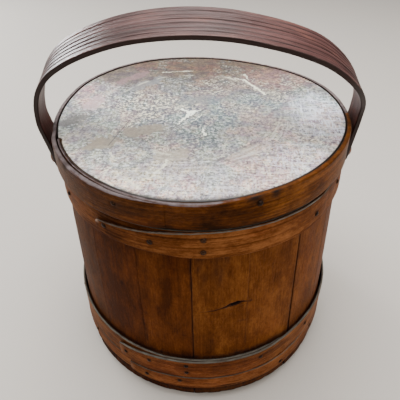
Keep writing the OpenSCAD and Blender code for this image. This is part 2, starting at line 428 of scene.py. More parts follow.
def wood(name, dark, mid, light, wear_col, bare_col, grain=1.0, ring=0.5, pores=0.5, mottle=0.4, rough=(0.34, 0.55), bump=0.35, streak=0.5,
         spec=0.25, grime_and_shade_col=(0.012, 0.008, 0.007, 1.0), lines=0.0, whole=False):
    """varnished wood. gc runs along, across and into the grain, mk holds wear, soiling with painted shade, and
    bareness, tn holds lightness, in places painted shade, redness and gloss.
    whole: gc is the place itself and the grain runs round the axis"""
    m = Mat(name)

    def per(a, b, c):
        return (a, b, a) if whole else (a, b, c)

    gc, mk, tn = m.attr("gc"), m.sep(m.attr("mk")), m.sep(m.attr("tn"))
    fine = m.noise(m.vmul(gc, per(0.009, 0.50, 0.50)), 1.0, 6.0, 0.70, 0.05)
    broad = m.noise(m.vmul(gc, per(0.0040, 0.10, 0.10)), 1.0, 4.0, 0.55, 0.2)
    blot = m.noise(m.vmul(gc, per(0.011, 0.024, 0.024)), 1.0, 5.0, 0.6, 0.6)
    patch = m.noise(m.vmul(gc, per(0.045, 0.08, 0.08)), 1.0, 6.0, 0.7, 0.2)
    tooth = m.noise(m.vmul(gc, per(0.22, 0.5, 0.5)), 1.0, 4.0, 0.7)
    bend = m.noise(m.vmul(gc, per(0.0035, 0.020, 0.020)), 1.0, 2.0, 0.5)
    across = m.sep(gc)[1]
    rings = m.math("ADD", m.math("MULTIPLY", across, 0.20), m.math("MULTIPLY", bend, 7.0))
    late = m.math("POWER", m.math("FRACT", rings), 3.0)
    pore = m.span(m.noise(m.vmul(gc, per(0.060, 1.35, 1.35)), 1.0, 2.0, 0.5), 0.60, 0.72)
    v = m.math("ADD", 0.5, m.math("MULTIPLY", m.math("SUBTRACT", fine, 0.5), 1.3 * grain))
    v = m.math("ADD", v, m.math("MULTIPLY", m.math("SUBTRACT", broad, 0.5), 1.5 * streak))
    v = m.math("ADD", v, m.math("MULTIPLY", m.math("SUBTRACT", blot, 0.5), 1.6 * mottle))
    v = m.math("ADD", v, m.math("MULTIPLY", m.math("SUBTRACT", patch, 0.5), 1.3 * mottle))
    v = m.math("ADD", v, m.math("MULTIPLY", m.math("SUBTRACT", tooth, 0.5), 0.9 * mottle))
    v = m.math("SUBTRACT", v, m.math("MULTIPLY", m.math("SUBTRACT", late, 0.25), 0.34 * ring))
    if lines:
        thin = m.noise(m.vmul(gc, per(0.0022, 0.42, 0.42)), 1.0, 3.0, 0.6)
        v = m.math("SUBTRACT", v, m.math("MULTIPLY", m.span(thin, 0.55, 0.66), lines))
    v = m.math("ADD", v, tn[0])
    col = m.ramp(v, [(0.10, dark), (0.48, mid), (0.92, light)])
    # a redder cast in places
    red = m.mix(1.0, col, (1.10, 0.74, 0.75, 1), "MULTIPLY")
    col = m.mix(m.span(tn[1], 0.0, 1.0, 0.0, 1.0, False), col, red)
    col = m.mix(m.math("MULTIPLY", pore, 0.55 * pores), col, (0.008, 0.003, 0.001, 1))
    # bare wood inside and on cut ends
    raw = m.ramp(m.math("ADD", fine, m.math("MULTIPLY", m.math("SUBTRACT", broad, 0.5), 0.7)), [(0.2, scaled(bare_col, 0.45)), (0.55, bare_col), (0.9, scaled(bare_col, 1.35))])
    col = m.mix(mk[2], col, raw)
    # worn places show grey wood, broken up by the grain
    breakup = m.noise(m.vmul(gc, per(0.09, 0.55, 0.55)), 1.0, 5.0, 0.65)
    w = m.math("ADD", mk[0], m.math("MULTIPLY", m.math("SUBTRACT", breakup, 0.5), 0.9))
    w = m.span(w, 0.34, 0.72)
    tint = m.ramp(breakup, [(0.30, scaled(wear_col, 0.45)), (0.52, wear_col), (0.75, scaled(wear_col, 1.5))])
    col = m.mix(w, col, tint)
    # darkening from mk's second value: soiling and painted shade
    dark_breakup = m.noise(m.vmul(gc, per(0.06, 0.16, 0.16)), 1.0, 5.0, 0.65)
    d = m.math("ADD", mk[1], m.math("MULTIPLY", m.math("MULTIPLY", m.math("SUBTRACT", dark_breakup, 0.5), 1.5), m.span(mk[1], 0.0, 0.3)))
    d = m.math("MULTIPLY", d, 1.0, clamp=True)
    col = m.mix(d, col, grime_and_shade_col)
    m.put(m.b.inputs["Base Color"], col)
    r = m.math("ADD", rough[0], m.math("MULTIPLY", patch, rough[1] - rough[0]))
    r = m.math("ADD", r, m.math("MULTIPLY", w, 0.28))
    r = m.math("ADD", r, m.math("MULTIPLY", d, 0.25))
    r = m.math("SUBTRACT", r, m.math("MULTIPLY", tn[2], 0.2), clamp=True)
    m.put(m.b.inputs["Roughness"], r)
    m.b.inputs["Specular IOR Level"].default_value = spec
    m.b.inputs["Specular Tint"].default_value = (1.0, 0.60, 0.34, 1.0)
    h = m.math("ADD", m.math("MULTIPLY", fine, 0.8), m.math("MULTIPLY", pore, -0.5))
    h = m.math("ADD", h, m.math("MULTIPLY", patch, 0.5))
    h = m.math("ADD", h, m.math("MULTIPLY", tooth, 0.5))
    h = m.math("ADD", h, m.math("MULTIPLY", late, 0.25 * ring))
    m.put(m.b.inputs["Normal"], m.bump(h, bump, 0.0006))
    return m


stave_mat = wood("stave_wood", lin(0.048, 0.0133, 0.0024), lin(0.104, 0.0310, 0.0056), lin(0.190, 0.066, 0.0150), lin(0.16, 0.13, 0.10), lin(0.30, 0.15, 0.055),
                 grain=0.55, ring=0.10, pores=0.6, mottle=0.85, rough=(0.38, 0.56), bump=0.4, streak=0.16, spec=0.02, grime_and_shade_col=(0.012, 0.0085, 0.0095, 1.0))
hoop_mat = wood("hoop_wood", lin(0.040, 0.0112, 0.0024), lin(0.120, 0.039, 0.0092), lin(0.27, 0.108, 0.034), lin(0.085, 0.076, 0.062), lin(0.36, 0.26, 0.20),
                grain=0.75, ring=0.15, pores=0.45, mottle=0.75, rough=(0.38, 0.56), bump=0.45, streak=0.26, lines=0.24, spec=0.02)
band_mat = wood("lid_band_wood", lin(0.014, 0.004, 0.0005), lin(0.062, 0.018, 0.0018), lin(0.17, 0.060, 0.010), lin(0.090, 0.073, 0.074), lin(0.30, 0.17, 0.10),
                grain=0.8, ring=0.15, pores=0.4, mottle=0.75, rough=(0.38, 0.58), bump=0.4, streak=0.3, spec=0.08, whole=True)
bottom_mat = wood("bottom_wood", srgb(62, 34, 12), srgb(120, 78, 40), srgb(168, 120, 70), srgb(120, 104, 88), srgb(150, 108, 66),
                  grain=0.9, ring=0.8, pores=0.5, mottle=0.5, rough=(0.55, 0.8), bump=0.4)
peg_mat = wood("peg_wood", lin(0.016, 0.004, 0.002), lin(0.075, 0.022, 0.010), lin(0.20, 0.08, 0.04), lin(0.17, 0.12, 0.09), lin(0.20, 0.09, 0.035),
               grain=0.8, ring=0.2, pores=0.4, mottle=0.6, rough=(0.28, 0.45), bump=0.3, spec=0.5)


def handle_material():
    m = Mat("handle_wood")
    gc, mk, tn = m.attr("gc"), m.sep(m.attr("mk")), m.sep(m.attr("tn"))
    fine = m.noise(m.vmul(gc, (0.010, 0.62, 0.62)), 1.0, 5.0, 0.66, 0.1)
    broad = m.noise(m.vmul(gc, (0.007, 0.11, 0.11)), 1.0, 4.0, 0.6, 0.3)
    patch = m.noise(m.vmul(gc, (0.020, 0.05, 0.05)), 1.0, 5.0, 0.62, 0.4)
    v = m.math("ADD", m.math("MULTIPLY", m.math("SUBTRACT", fine, 0.2), 1.15), m.math("MULTIPLY", broad, 0.5))
    v = m.math("ADD", v, m.math("MULTIPLY", m.math("SUBTRACT", patch, 0.5), 0.5))
    v = m.math("ADD", v, tn[0])
    col = m.ramp(v, [(0.20, lin(0.005, 0.0015, 0.0012)), (0.50, lin(0.027, 0.0088, 0.0078)), (0.85, lin(0.100, 0.042, 0.038))])
    col = m.mix(m.math("MULTIPLY", m.span(patch, 0.52, 0.72), 0.45), col, lin(0.15, 0.055, 0.036))
    # the side faces are nearly black, which is painted shade, and the legs' outer face a little darker; the grooves are
    # darker
    col = m.mix(mk[2], col, m.ramp(fine, [(0.3, lin(0.006, 0.002, 0.0015)), (0.75, lin(0.020, 0.007, 0.005))]))
    col = m.mix(m.math("MULTIPLY", mk[1], 1.0, clamp=True), col, lin(0.012, 0.004, 0.003))
    wearn = m.noise(m.vmul(gc, (0.05, 0.6, 0.6)), 1.0, 5.0, 0.65)
    w = m.span(m.math("ADD", mk[0], m.math("MULTIPLY", m.math("SUBTRACT", wearn, 0.5), 1.0)), 0.35, 0.8)
    col = m.mix(w, col, lin(0.13, 0.075, 0.066))
    m.put(m.b.inputs["Base Color"], col)
    r = m.math("ADD", 0.27, m.math("MULTIPLY", patch, 0.22))
    r = m.math("ADD", r, m.math("MULTIPLY", mk[1], 0.25))
    m.put(m.b.inputs["Roughness"], r)
    m.b.inputs["Specular IOR Level"].default_value = 0.24
    m.b.inputs["Specular Tint"].default_value = (1.0, 0.88, 0.86, 1.0)
    h = m.math("ADD", m.math("MULTIPLY", fine, 1.0), m.math("MULTIPLY", patch, 0.4))
    m.put(m.b.inputs["Normal"], m.bump(h, 0.4, 0.0006))
    return m


def tack_material():
    m = Mat("tack_iron")
    gc, tn = m.attr("gc"), m.sep(m.attr("tn"))
    n = m.noise(gc, 0.9, 5.0, 0.65)
    v = m.math("ADD", m.math("ADD", 0.5, m.math("MULTIPLY", m.math("SUBTRACT", n, 0.5), 2.0)), tn[0])
    col = m.ramp(v, [(0.2, lin(0.006, 0.004, 0.003)), (0.5, lin(0.022, 0.012, 0.008)), (0.9, lin(0.11, 0.045, 0.016))])
    m.put(m.b.inputs["Base Color"], col)
    m.b.inputs["Metallic"].default_value = 0.9
    m.put(m.b.inputs["Roughness"], m.math("ADD", 0.42, m.math("MULTIPLY", n, 0.3)))
    m.put(m.b.inputs["Normal"], m.bump(n, 0.6, 0.0004))
    return m


def paint_material():
    """old paint on the lid board, in layers: a worn grey blue middle, mauve, pink and cream around it, bare brown at the far edge, all of it
    broken up by fine light and dark flecks"""
    m = Mat("lid_paint")
    gc = m.attr("gc")
    mk = m.sep(m.attr("mk"))
    s = m.sep(gc)
    x, y = s[0], s[1]

    def field(scale, shift, detail=5.0, rough=0.65, distort=0.3):
        return m.noise(m.vadd(m.vmul(gc, (scale, scale, scale)), shift), 1.0, detail, rough, distort)

    def hyp(cx, cy, kx=1.0, ky=1.0):
        dx = m.math("MULTIPLY", m.math("SUBTRACT", x, cx), kx)
        dy = m.math("MULTIPLY", m.math("SUBTRACT", y, cy), ky)
        return m.math("SQRT", m.math("ADD", m.math("MULTIPLY", dx, dx), m.math("MULTIPLY", dy, dy)))

    def blob(cx, cy, a, b, kx=1.0, ky=1.0, ragged=40.0, amount=1.0):
        """one inside a ragged patch, nothing outside it"""
        q = m.math("ADD", hyp(cx, cy, kx, ky), m.math("MULTIPLY", m.math("SUBTRACT", mid, 0.5), ragged))
        return m.math("MULTIPLY", m.span(q, a, b, 1.0, 0.0), amount)

    def times(fac, colour, k):
        """multiplies the colour by k where fac is one"""
        return m.mix(fac, colour, m.mix(1.0, colour, lin(*k), "MULTIPLY"))

    big = field(0.012, (0.0, 0.0, 0.0), 4.0, 0.55, 0.5)
    big2 = field(0.019, (7.3, 2.1, 0.4), 5.0, 0.6, 0.6)
    big3 = field(0.026, (1.3, 12.1, 0.4), 5.0, 0.62, 0.6)
    mid = field(0.055, (3.1, 9.2, 0.0))
    mid2 = field(0.085, (8.1, 2.2, 3.0))
    mid3 = field(0.070, (1.1, 5.2, 6.0), 4.0, 0.6, 0.5)
    small = field(0.20, (0.0, 4.0, 0.0), 4.0, 0.66, 0.3)
    speck = field(0.24, (5.0, 1.0, 2.0), 3.0, 0.60, 0.2)
    speck2 = field(0.33, (15.0, 3.0, 4.0), 3.0, 0.60, 0.2)
    dust = field(0.55, (2.0, 6.0, 1.0), 2.0, 0.6, 0.0)
    # the board's grain shows through, and the paint was brushed across it
    ca, sa = math.cos(math.radians(-6)), math.sin(math.radians(-6))
    along = m.math("ADD", m.math("MULTIPLY", x, ca), m.math("MULTIPLY", y, sa))
    across = m.math("SUBTRACT", m.math("MULTIPLY", y, ca), m.math("MULTIPLY", x, sa))
    grain = m.noise(m.comb(m.math("MULTIPLY", along, 0.045), m.math("MULTIPLY", across, 0.42), 0.0), 1.0, 4.0, 0.60, 0.2)
    brush = m.noise(m.comb(m.math("MULTIPLY", along, 0.42), m.math("MULTIPLY", across, 0.07), 1.0), 1.0, 4.0, 0.60, 0.2)

    # from pale and warm at the near edge, through grey blue, to brown at the far edge
    yy = m.math("ADD", y, m.math("MULTIPLY", m.math("SUBTRACT", big, 0.5), 90.0))
    yy = m.math("ADD", yy, m.math("MULTIPLY", m.math("SUBTRACT", mid, 0.5), 44.0))
    yy = m.math("SUBTRACT", yy, m.math("MULTIPLY", m.math("ABSOLUTE", m.math("SUBTRACT", x, 5.0)), 0.10))
    col = m.ramp(m.span(yy, -130.0, 120.0, 0.0, 1.0, False), [
        (0.02, lin(0.330, 0.288, 0.262)), (0.20, lin(0.300, 0.270, 0.254)), (0.36, lin(0.235, 0.232, 0.224)), (0.52, lin(0.172, 0.184, 0.184)),
        (0.72, lin(0.124, 0.122, 0.116)), (0.86, lin(0.096, 0.076, 0.062)), (1.0, lin(0.076, 0.052, 0.037))])
    # zones
    col = m.mix(blob(-2, -4, 14, 50, 0.8, 0.8, 50.0, 0.65), col, lin(0.150, 0.182, 0.190))
    col = m.mix(blob(2, -58, 6, 24, 0.7, 1.0, 34.0, 0.60), col, lin(0.160, 0.186, 0.188))
    col = m.mix(blob(-122, 44, 16, 36, 1.0, 0.7, 40.0, 0.80), col, lin(0.310, 0.232, 0.232))
    col = m.mix(blob(-92, -14, 10, 30, 1.0, 1.0, 40.0, 0.65), col, lin(0.320, 0.318, 0.285))
    col = m.mix(blob(-60, -46, 6, 24, 0.6, 1.1, 30.0, 0.75), col, lin(0.215, 0.190, 0.160))
    col = m.mix(blob(-104, -62, 5, 20, 0.8, 1.0, 26.0, 0.75), col, lin(0.215, 0.190, 0.155))
    col = m.mix(blob(-136, -14, 8, 15, 1.2, 0.7, 16.0, 0.85), col, lin(0.115, 0.108, 0.100))
    col = m.mix(blob(-74, 92, 10, 34, 0.8, 0.9, 44.0, 0.70), col, lin(0.098, 0.080, 0.078))
    col = m.mix(blob(100, 78, 12, 44, 0.7, 1.0, 44.0, 0.70), col, lin(0.170, 0.125, 0.105))
    # the bright blue grey zone on the right is partly the paint's own colour and partly painted sheen
    col = m.mix(blob(130, -16, 16, 46, 1.0, 0.7, 46.0, 0.80), col, lin(0.350, 0.376, 0.400))
    col = m.mix(blob(68, -66, 14, 42, 0.7, 1.0, 44.0, 0.60), col, lin(0.375, 0.372, 0.345))
    col = m.mix(blob(96, -100, 12, 38, 0.8, 1.0, 40.0, 0.70), col, lin(0.450, 0.428, 0.425))
    col = m.mix(blob(-52, -122, 12, 30, 0.8, 1.2, 36.0, 0.65), col, lin(0.400, 0.372, 0.270))
    # ragged patches of older coats
    col = times(m.span(big2, 0.490, 0.520), col, (1.20, 0.95, 0.98))
    col = times(m.span(big3, 0.505, 0.530), col, (0.80, 0.95, 0.96))
    col = times(m.span(mid3, 0.500, 0.525), col, (1.22, 1.20, 1.06))
    col = times(m.span(mid3, 0.460, 0.435), col, (0.90, 0.84, 0.94))
    col = times(m.span(mid2, 0.505, 0.530), col, (0.82, 0.80, 0.84))
    col = times(m.span(mid2, 0.455, 0.430), col, (1.16, 1.13, 1.00))
    # mottling
    v = m.math("MULTIPLY", m.math("SUBTRACT", small, 0.5), 3.2)
    v = m.math("ADD", v, m.math("MULTIPLY", m.math("SUBTRACT", grain, 0.5), 0.9))
    v = m.math("ADD", v, m.math("MULTIPLY", m.math("SUBTRACT", dust, 0.5), 1.2))
    coarse = m.math("ADD", m.math("MULTIPLY", m.span(big2, 0.46, 0.53), 0.45), m.math("MULTIPLY", m.span(mid3, 0.47, 0.52), 0.55))
    coarse = m.math("ADD", 0.50, m.math("MULTIPLY", coarse, 0.60))
    v = m.math("ADD", 1.0, m.math("MULTIPLY", v, coarse))
    col = m.mix(1.0, col, m.grey(v), "MULTIPLY")
    # light flecks, most of them around the middle left, and darker ones; the light flecks are partly the paint's own
    # pale specks and partly painted glints
    where = m.math("ADD", 0.22, m.math("MULTIPLY", m.span(big3, 0.44, 0.56), 0.30))
    where = m.math("ADD", where, blob(-66, 8, 16, 62, 0.8, 0.9, 40.0, 0.45), clamp=True)
    where = m.math("ADD", where, blob(-10, -30, 10, 40, 0.7, 0.9, 40.0, 0.30), clamp=True)
    where = m.math("ADD", where, m.span(y, -50.0, -100.0, 0.0, 0.30), clamp=True)
    where = m.math("SUBTRACT", where, m.math("MULTIPLY", m.span(y, 60.0, 105.0), 0.35), clamp=True)
    where = m.math("MULTIPLY", where, coarse)
    pale = m.mix(m.span(big2, 0.46, 0.55), lin(0.70, 0.72, 0.72), lin(0.74, 0.70, 0.54))
    col = m.mix(m.math("MULTIPLY", m.span(speck, 0.545, 0.580), where), col, pale)
    col = m.mix(m.math("MULTIPLY", m.span(speck2, 0.565, 0.600), m.math("MULTIPLY", where, 0.9)), col, pale)
    col = times(m.math("MULTIPLY", m.span(speck2, 0.455, 0.425), 0.85), col, (0.42, 0.42, 0.46))
    # flat tan patches with clear edges
    px = m.math("ADD", x, m.math("ADD", m.math("MULTIPLY", m.math("SUBTRACT", mid, 0.5), 40.0), m.math("MULTIPLY", m.math("SUBTRACT", small, 0.5), 9.0)))
    py = m.math("ADD", y, m.math("ADD", m.math("MULTIPLY", m.math("SUBTRACT", mid2, 0.5), 30.0), m.math("MULTIPLY", m.math("SUBTRACT", speck, 0.5), 9.0)))
    for (ax, ay, bx, by, half, c, k) in ((-72, -42, -46, -36, 8.0, lin(0.250, 0.210, 0.158), 0.85), (-106, -66, -90, -58, 7.0, lin(0.245, 0.205, 0.150), 0.85),
                                         (-36, -90, -18, -84, 8.0, lin(0.345, 0.300, 0.238), 0.80), (-124, 16, -118, 36, 8.0, lin(0.400, 0.285, 0.295), 0.70),
                                         (-148, -20, -128, -8, 6.5, lin(0.110, 0.103, 0.096), 0.75), (-76, 62, -48, 88, 6.5, lin(0.150, 0.160, 0.165), 0.65),
                                         (-100, 78, -70, 104, 5.0, lin(0.200, 0.115, 0.120), 0.60), (30, -94, 58, -78, 5.5, lin(0.420, 0.330, 0.275), 0.50),
                                         (-20, 24, 16, 30, 8.0, lin(0.128, 0.150, 0.158), 0.50)):
        col = m.mix(m.math("MULTIPLY", m.near(px, py, ax, ay, bx, by, half, 1.8), k), col, m.mix(1.0, c, m.grey(m.math("ADD", 1.0, m.math("MULTIPLY", m.math("SUBTRACT", small, 0.5), 0.9))), "MULTIPLY"))
    # white brushed weave on the right and at the near right: the weave is the paint's own, its bluish white is partly
    # painted sheen
    weave = m.math("MAXIMUM", m.span(grain, 0.540, 0.560), m.span(brush, 0.540, 0.560))
    zone = m.math("MAXIMUM", blob(132, -14, 16, 46, 1.0, 0.65, 40.0, 0.70), blob(92, -96, 12, 44, 0.8, 1.0, 50.0, 0.55))
    zone = m.math("MAXIMUM", zone, blob(0, -128, 16, 60, 0.4, 1.5, 50.0, 0.28))
    col = m.mix(m.math("MULTIPLY", weave, zone), col, lin(0.74, 0.77, 0.86))
    rub = m.math("MULTIPLY", m.span(m.noise(m.vadd(m.vmul(gc, (0.30, 0.30, 0.30)), (21.0, 8.0, 5.0)), 1.0, 3.0, 0.6, 1.2), 0.47, 0.43),
                 m.math("MAXIMUM", m.math("MAXIMUM", blob(100, -86, 20, 56, 0.8, 0.8, 50.0, 0.85), blob(30, -104, 10, 44, 0.35, 1.1, 40.0, 0.60)), blob(-40, -120, 10, 40, 0.5, 1.1, 40.0, 0.45)))
    col = times(rub, col, (0.52, 0.50, 0.50))
    # the ring left by something that stood on the lid, and the strokes worn along it
    rr = m.math("ADD", hyp(-7, 2), m.math("MULTIPLY", m.math("SUBTRACT", big, 0.5), 14.0))
    turn = m.math("ARCTAN2", m.math("SUBTRACT", y, 2.0), m.math("ADD", x, 7.0))
    strokes = m.noise(m.comb(m.math("MULTIPLY", rr, 0.34), m.math("MULTIPLY", turn, 3.4), 0.0), 1.0, 4.0, 0.6, 0.6)
    band = m.math("MULTIPLY", m.span(m.math("ABSOLUTE", m.math("SUBTRACT", rr, 102.0)), 3.0, 17.0, 1.0, 0.0), m.span(y, 10.0, -50.0))
    band = m.math("MULTIPLY", band, m.span(x, -40.0, 20.0))
    col = m.mix(m.math("MULTIPLY", m.math("MULTIPLY", band, m.span(strokes, 0.53, 0.62)), 0.6), col, lin(0.62, 0.60, 0.57))
    col = m.mix(m.math("MULTIPLY", m.math("MULTIPLY", band, m.span(strokes, 0.47, 0.40)), 0.6), col, lin(0.12, 0.112, 0.108))
    line = m.math("MULTIPLY", m.span(m.math("ABSOLUTE", m.math("SUBTRACT", rr, 97.0)), 0.5, 2.2, 1.0, 0.0), m.span(mid, 0.47, 0.60))
    col = m.mix(m.math("MULTIPLY", line, 0.5), col, lin(0.52, 0.50, 0.40))
    shade = m.math("MULTIPLY", m.span(m.math("ABSOLUTE", m.math("SUBTRACT", rr, 93.0)), 0.5, 3.0, 1.0, 0.0), m.span(big2, 0.44, 0.56))
    col = m.mix(m.math("MULTIPLY", shade, 0.35), col, lin(0.10, 0.09, 0.088))
    # chips down to the white ground, scratches and spots
    jag_x = m.math("ADD", x, m.math("MULTIPLY", m.math("SUBTRACT", speck, 0.5), 9.0))
    jag_y = m.math("ADD", y, m.math("MULTIPLY", m.math("SUBTRACT", small, 0.5), 11.0))
    shapes = ((-19, 6, -12, 0, 1.0, 1.0), (-12, 0, -4, 0, 1.6, 1.0), (-4, 0, 2, 2, 0.5, 1.0), (-11, -2, -13, -10, 1.5, 1.0), (-6, -2, -9, -9, 1.2, 1.0), (-13, -11, -18, -18, 0.9, 1.0),
              (-18, -18, -23, -28, 0.35, 1.0), (3.5, -38, 4.5, -44, 0.7, 1.0), (4.5, -45, 6.0, -51, 1.2, 1.0), (-8, -24, -3, -17, 0.35, 0.9), (-3, -17, 3, -7, 0.15, 0.8))
    # each chip gets a painted shadow, offset towards the front right and drawn under it
    chip, chip_shadow = None, None
    for (ax, ay, bx, by, half, amount) in shapes:
        c = m.near(jag_x, jag_y, ax, ay, bx, by, half, 0.9)
        h = m.near(jag_x, jag_y, ax + 0.6, ay - 1.2, bx + 0.6, by - 1.2, half + 0.8, 1.6)
        if amount < 1:
            c, h = m.math("MULTIPLY", c, amount), m.math("MULTIPLY", h, 0.4)
        chip = c if chip is None else m.math("MAXIMUM", chip, c)
        chip_shadow = h if chip_shadow is None else m.math("MAXIMUM", chip_shadow, h)
    thin = m.near(jag_x, jag_y, 58, 83, 79, 38, 0.7, 1.2)
    for (ax, ay, bx, by, half, amount) in ((34, 93, 58, 83, 0.4, 0.6), (-46, 108, -8, 114, 0.3, 0.6), (64, 84, 60, 100, 0.4, 0.7), (-45, -121, -33, -104, 0.5, 0.7),
                                           (-33, -104, -30, -95, 0.8, 0.9), (-87, -78, -80, -93, 0.5, 0.8), (-86, -116, -83, -104, 0.4, 0.6), (27, -61, 21, -91, 0.2, 0.5),
                                           (-66, -124, -52, -136, 1.2, 0.6), (-28, -86, -44, -80, 0.4, 0.55)):
        thin = m.math("MAXIMUM", thin, m.math("MULTIPLY", m.near(jag_x, jag_y, ax, ay, bx, by, half, 1.2), amount))
    scar = m.math("MAXIMUM", m.near(x, y, -90, -67, -75, -17, 0.25, 0.8), m.math("MULTIPLY", m.near(x, y, -78, -44, -66, -58, 0.1, 0.8), 0.5))
    scar = m.math("MAXIMUM", scar, m.math("MULTIPLY", m.near(x, y, 25, 52, 36, 18, 0.3, 1.2), 0.35))
    col = m.mix(m.math("MULTIPLY", thin, m.span(mid2, 0.34, 0.50, 0.45, 0.9)), col, lin(0.78, 0.77, 0.60))
    col = m.mix(m.math("MULTIPLY", scar, 0.7), col, lin(0.055, 0.045, 0.055))
    # the chips' painted shadow
    col = m.mix(m.math("MULTIPLY", chip_shadow, 0.6), col, lin(0.050, 0.050, 0.050))
    col = m.mix(chip, col, lin(0.93, 0.96, 0.83))
    spots = m.near(x, y, -6, -83, -5, -84, 0.7, 0.8)
    for (ax, ay, half) in ((-22, -76, 0.5), (-58, -72, 0.8), (-51, -73, 0.6), (-47, -125, 0.5), (31, 8, 0.6), (48, 118, 0.9), (-122, 6, 0.6)):
        spots = m.math("MAXIMUM", spots, m.near(x, y, ax, ay, ax + 1.5, ay - 0.4, half, 0.9))
    col = m.mix(m.math("MULTIPLY", spots, 0.65), col, lin(0.045, 0.04, 0.045))
    # painted shade: near black in the gap along the board's edge and down its side
    col = m.mix(mk[1], col, lin(0.012, 0.009, 0.007))
    col = m.mix(mk[2], col, lin(0.14, 0.065, 0.025))
    m.put(m.b.inputs["Base Color"], col)
    rough = m.math("ADD", 0.40, m.math("MULTIPLY", mid, 0.25))
    m.put(m.b.inputs["Roughness"], rough)
    m.b.inputs["Specular IOR Level"].default_value = 0.35
    h = m.math("ADD", m.math("MULTIPLY", grain, 0.9), m.math("MULTIPLY", small, 1.0))
    h = m.math("ADD", h, m.math("MULTIPLY", dust, 0.6))
    h = m.math("SUBTRACT", h, m.math("MULTIPLY", m.math("MAXIMUM", chip, scar), 0.5))
    m.put(m.b.inputs["Normal"], m.bump(h, 0.6, 0.0006))
    return m


handle_mat = handle_material()
tack_mat = tack_material()
paint_mat = paint_material()

# ---------------------------------------------------------------- staves
# half gap at z 80 and z 240, width and depth of the rounded edge, mm
SEAMS = {0: (0.20, 0.14, 0.6, 0.6), 1: (0.03, 0.03, 0.4, 0.14), 2: (0.55, 0.12, 0.8, 0.7), 17: (0.05, 0.03, 0.4, 0.16),
         16: (0.03, 0.03, 0.4, 0.14), 15: (0.12, 0.06, 0.6, 0.3), 3: (0.15, 0.08, 0.6, 0.3)}
rng = np.random.default_rng(41)
for k in range(18):
    if k not in SEAMS:
        SEAMS[k] = (rng.uniform(0.08, 0.4), rng.uniform(0.05, 0.25), rng.uniform(0.6, 1.0), rng.uniform(0.35, 0.8))
TONE_AND_SHADE = rng.uniform(-0.11, 0.11, 18)
# staves 16 to 18 at the front left are set darker: painted shade
TONE_AND_SHADE[0], TONE_AND_SHADE[1], TONE_AND_SHADE[2], TONE_AND_SHADE[17], TONE_AND_SHADE[16], TONE_AND_SHADE[15] = -0.02, 0.00, 0.04, -0.14, -0.20, -0.22
HUE = rng.uniform(0.0, 0.35, 18)
HUE[0], HUE[1], HUE[2], HUE[17], HUE[16] = 0.05, 0.05, 0.12, 0.25, 0.3
STEP = rng.uniform(0.0, 0.4, 18)
FACET = rng.uniform(0.15, 0.5, 18)


def seam_at(k, z):
    k = k % 18
    z = np.asarray(z, float)
    shift = {0: -0.35 + 0.0030 * (z - 150), 2: 1.2}.get(k, 0.0006 * (k * 7 % 5 - 2) * (z - 150))
    return SEAM + 20 * k + 0.10 * noise(z / 70.0, k * 3.7, 0, 11) + shift


def gap_at(k, z):
    low, high, _, _ = SEAMS[k % 18]
    g = low + (high - low) * sstep(z, 80, 240)
    return g * (1 + 0.35 * noise(np.asarray(z) / 22.0, k, 0, 12)) + 0.03


def croze(z):
    return 4.0 * (np.clip((z - 16.9) / 2.2, 0, 1) - np.clip((z - 25.9) / 2.2, 0, 1))


# the knot crack across stave 1: points as bearing and height, half width, depth
CRACK = [(268.4, 159.6, 0.35, 0.3), (272.0, 160.6, 0.6, 0.6), (275.5, 162.8, 0.5, 0.7), (278.6, 165.8, 0.9, 1.4), (280.0, 167.3, 2.3, 4.2),
         (282.8, 169.2, 2.3, 4.2), (284.2, 169.8, 1.0, 1.4), (286.0, 168.6, 0.4, 0.6), (288.4, 167.4, 0.25, 0.4)]


def crack_field(az, z):
    """(depth in mm, lip) of the crack at a bearing and height"""
    depth, lip = np.zeros_like(az), np.zeros_like(az)
    for (a0, z0, w0, d0), (a1, z1, w1, d1) in zip(CRACK, CRACK[1:]):
        f = 2.86  # mm for a degree
        ex, ez = (a1 - a0) * f, z1 - z0
        px, pz = (az - a0) * f, z - z0
        t = np.clip((px * ex + pz * ez) / (ex * ex + ez * ez), 0, 1)
        dx, dz = px - t * ex, pz - t * ez
        d = np.hypot(dx, dz)
        w = w0 + (w1 - w0) * t
        dd = d0 + (d1 - d0) * t
        depth = np.maximum(depth, dd * (1 - sstep(d, w * 0.35, w * 1.25 + 0.35)))
        lip = np.maximum(lip, (0.4 + 0.6 * dd / 3.4) * np.exp(-((dz + w + 1.1) / 0.8) ** 2) * (np.abs(dx) < 6) * (dz < 0) * sstep(d, 0, w + 4))
    return depth, lip


# short dark marks on the staves: bearing, height, half width, half height, lean, strength
MARKS = [(238.6, 180, 2.4, 5.0, 0.2, 0.75), (242.7, 148, 2.4, 4.2, -0.3, 0.7), (284.6, 138.5, 4.5, 1.0, 0.1, 0.6), (246.6, 124, 0.9, 20, 0.0, 0.5),
         (247.2, 104, 1.0, 16, 0.0, 0.6), (300.5, 154, 1.8, 3.0, 0.1, 0.4), (291.5, 146, 1.2, 5.0, 0.0, 0.35), (60, 120, 3.0, 6.0, 0, 0.5),
         (110, 190, 3.2, 4.2, 0, 0.6), (172, 140, 2.8, 4.0, 0, 0.55), (20, 170, 3.0, 5.0, 0, 0.5), (340, 128, 2.6, 4.6, 0, 0.55), (205, 170, 2.4, 4.2, 0, 0.5)]


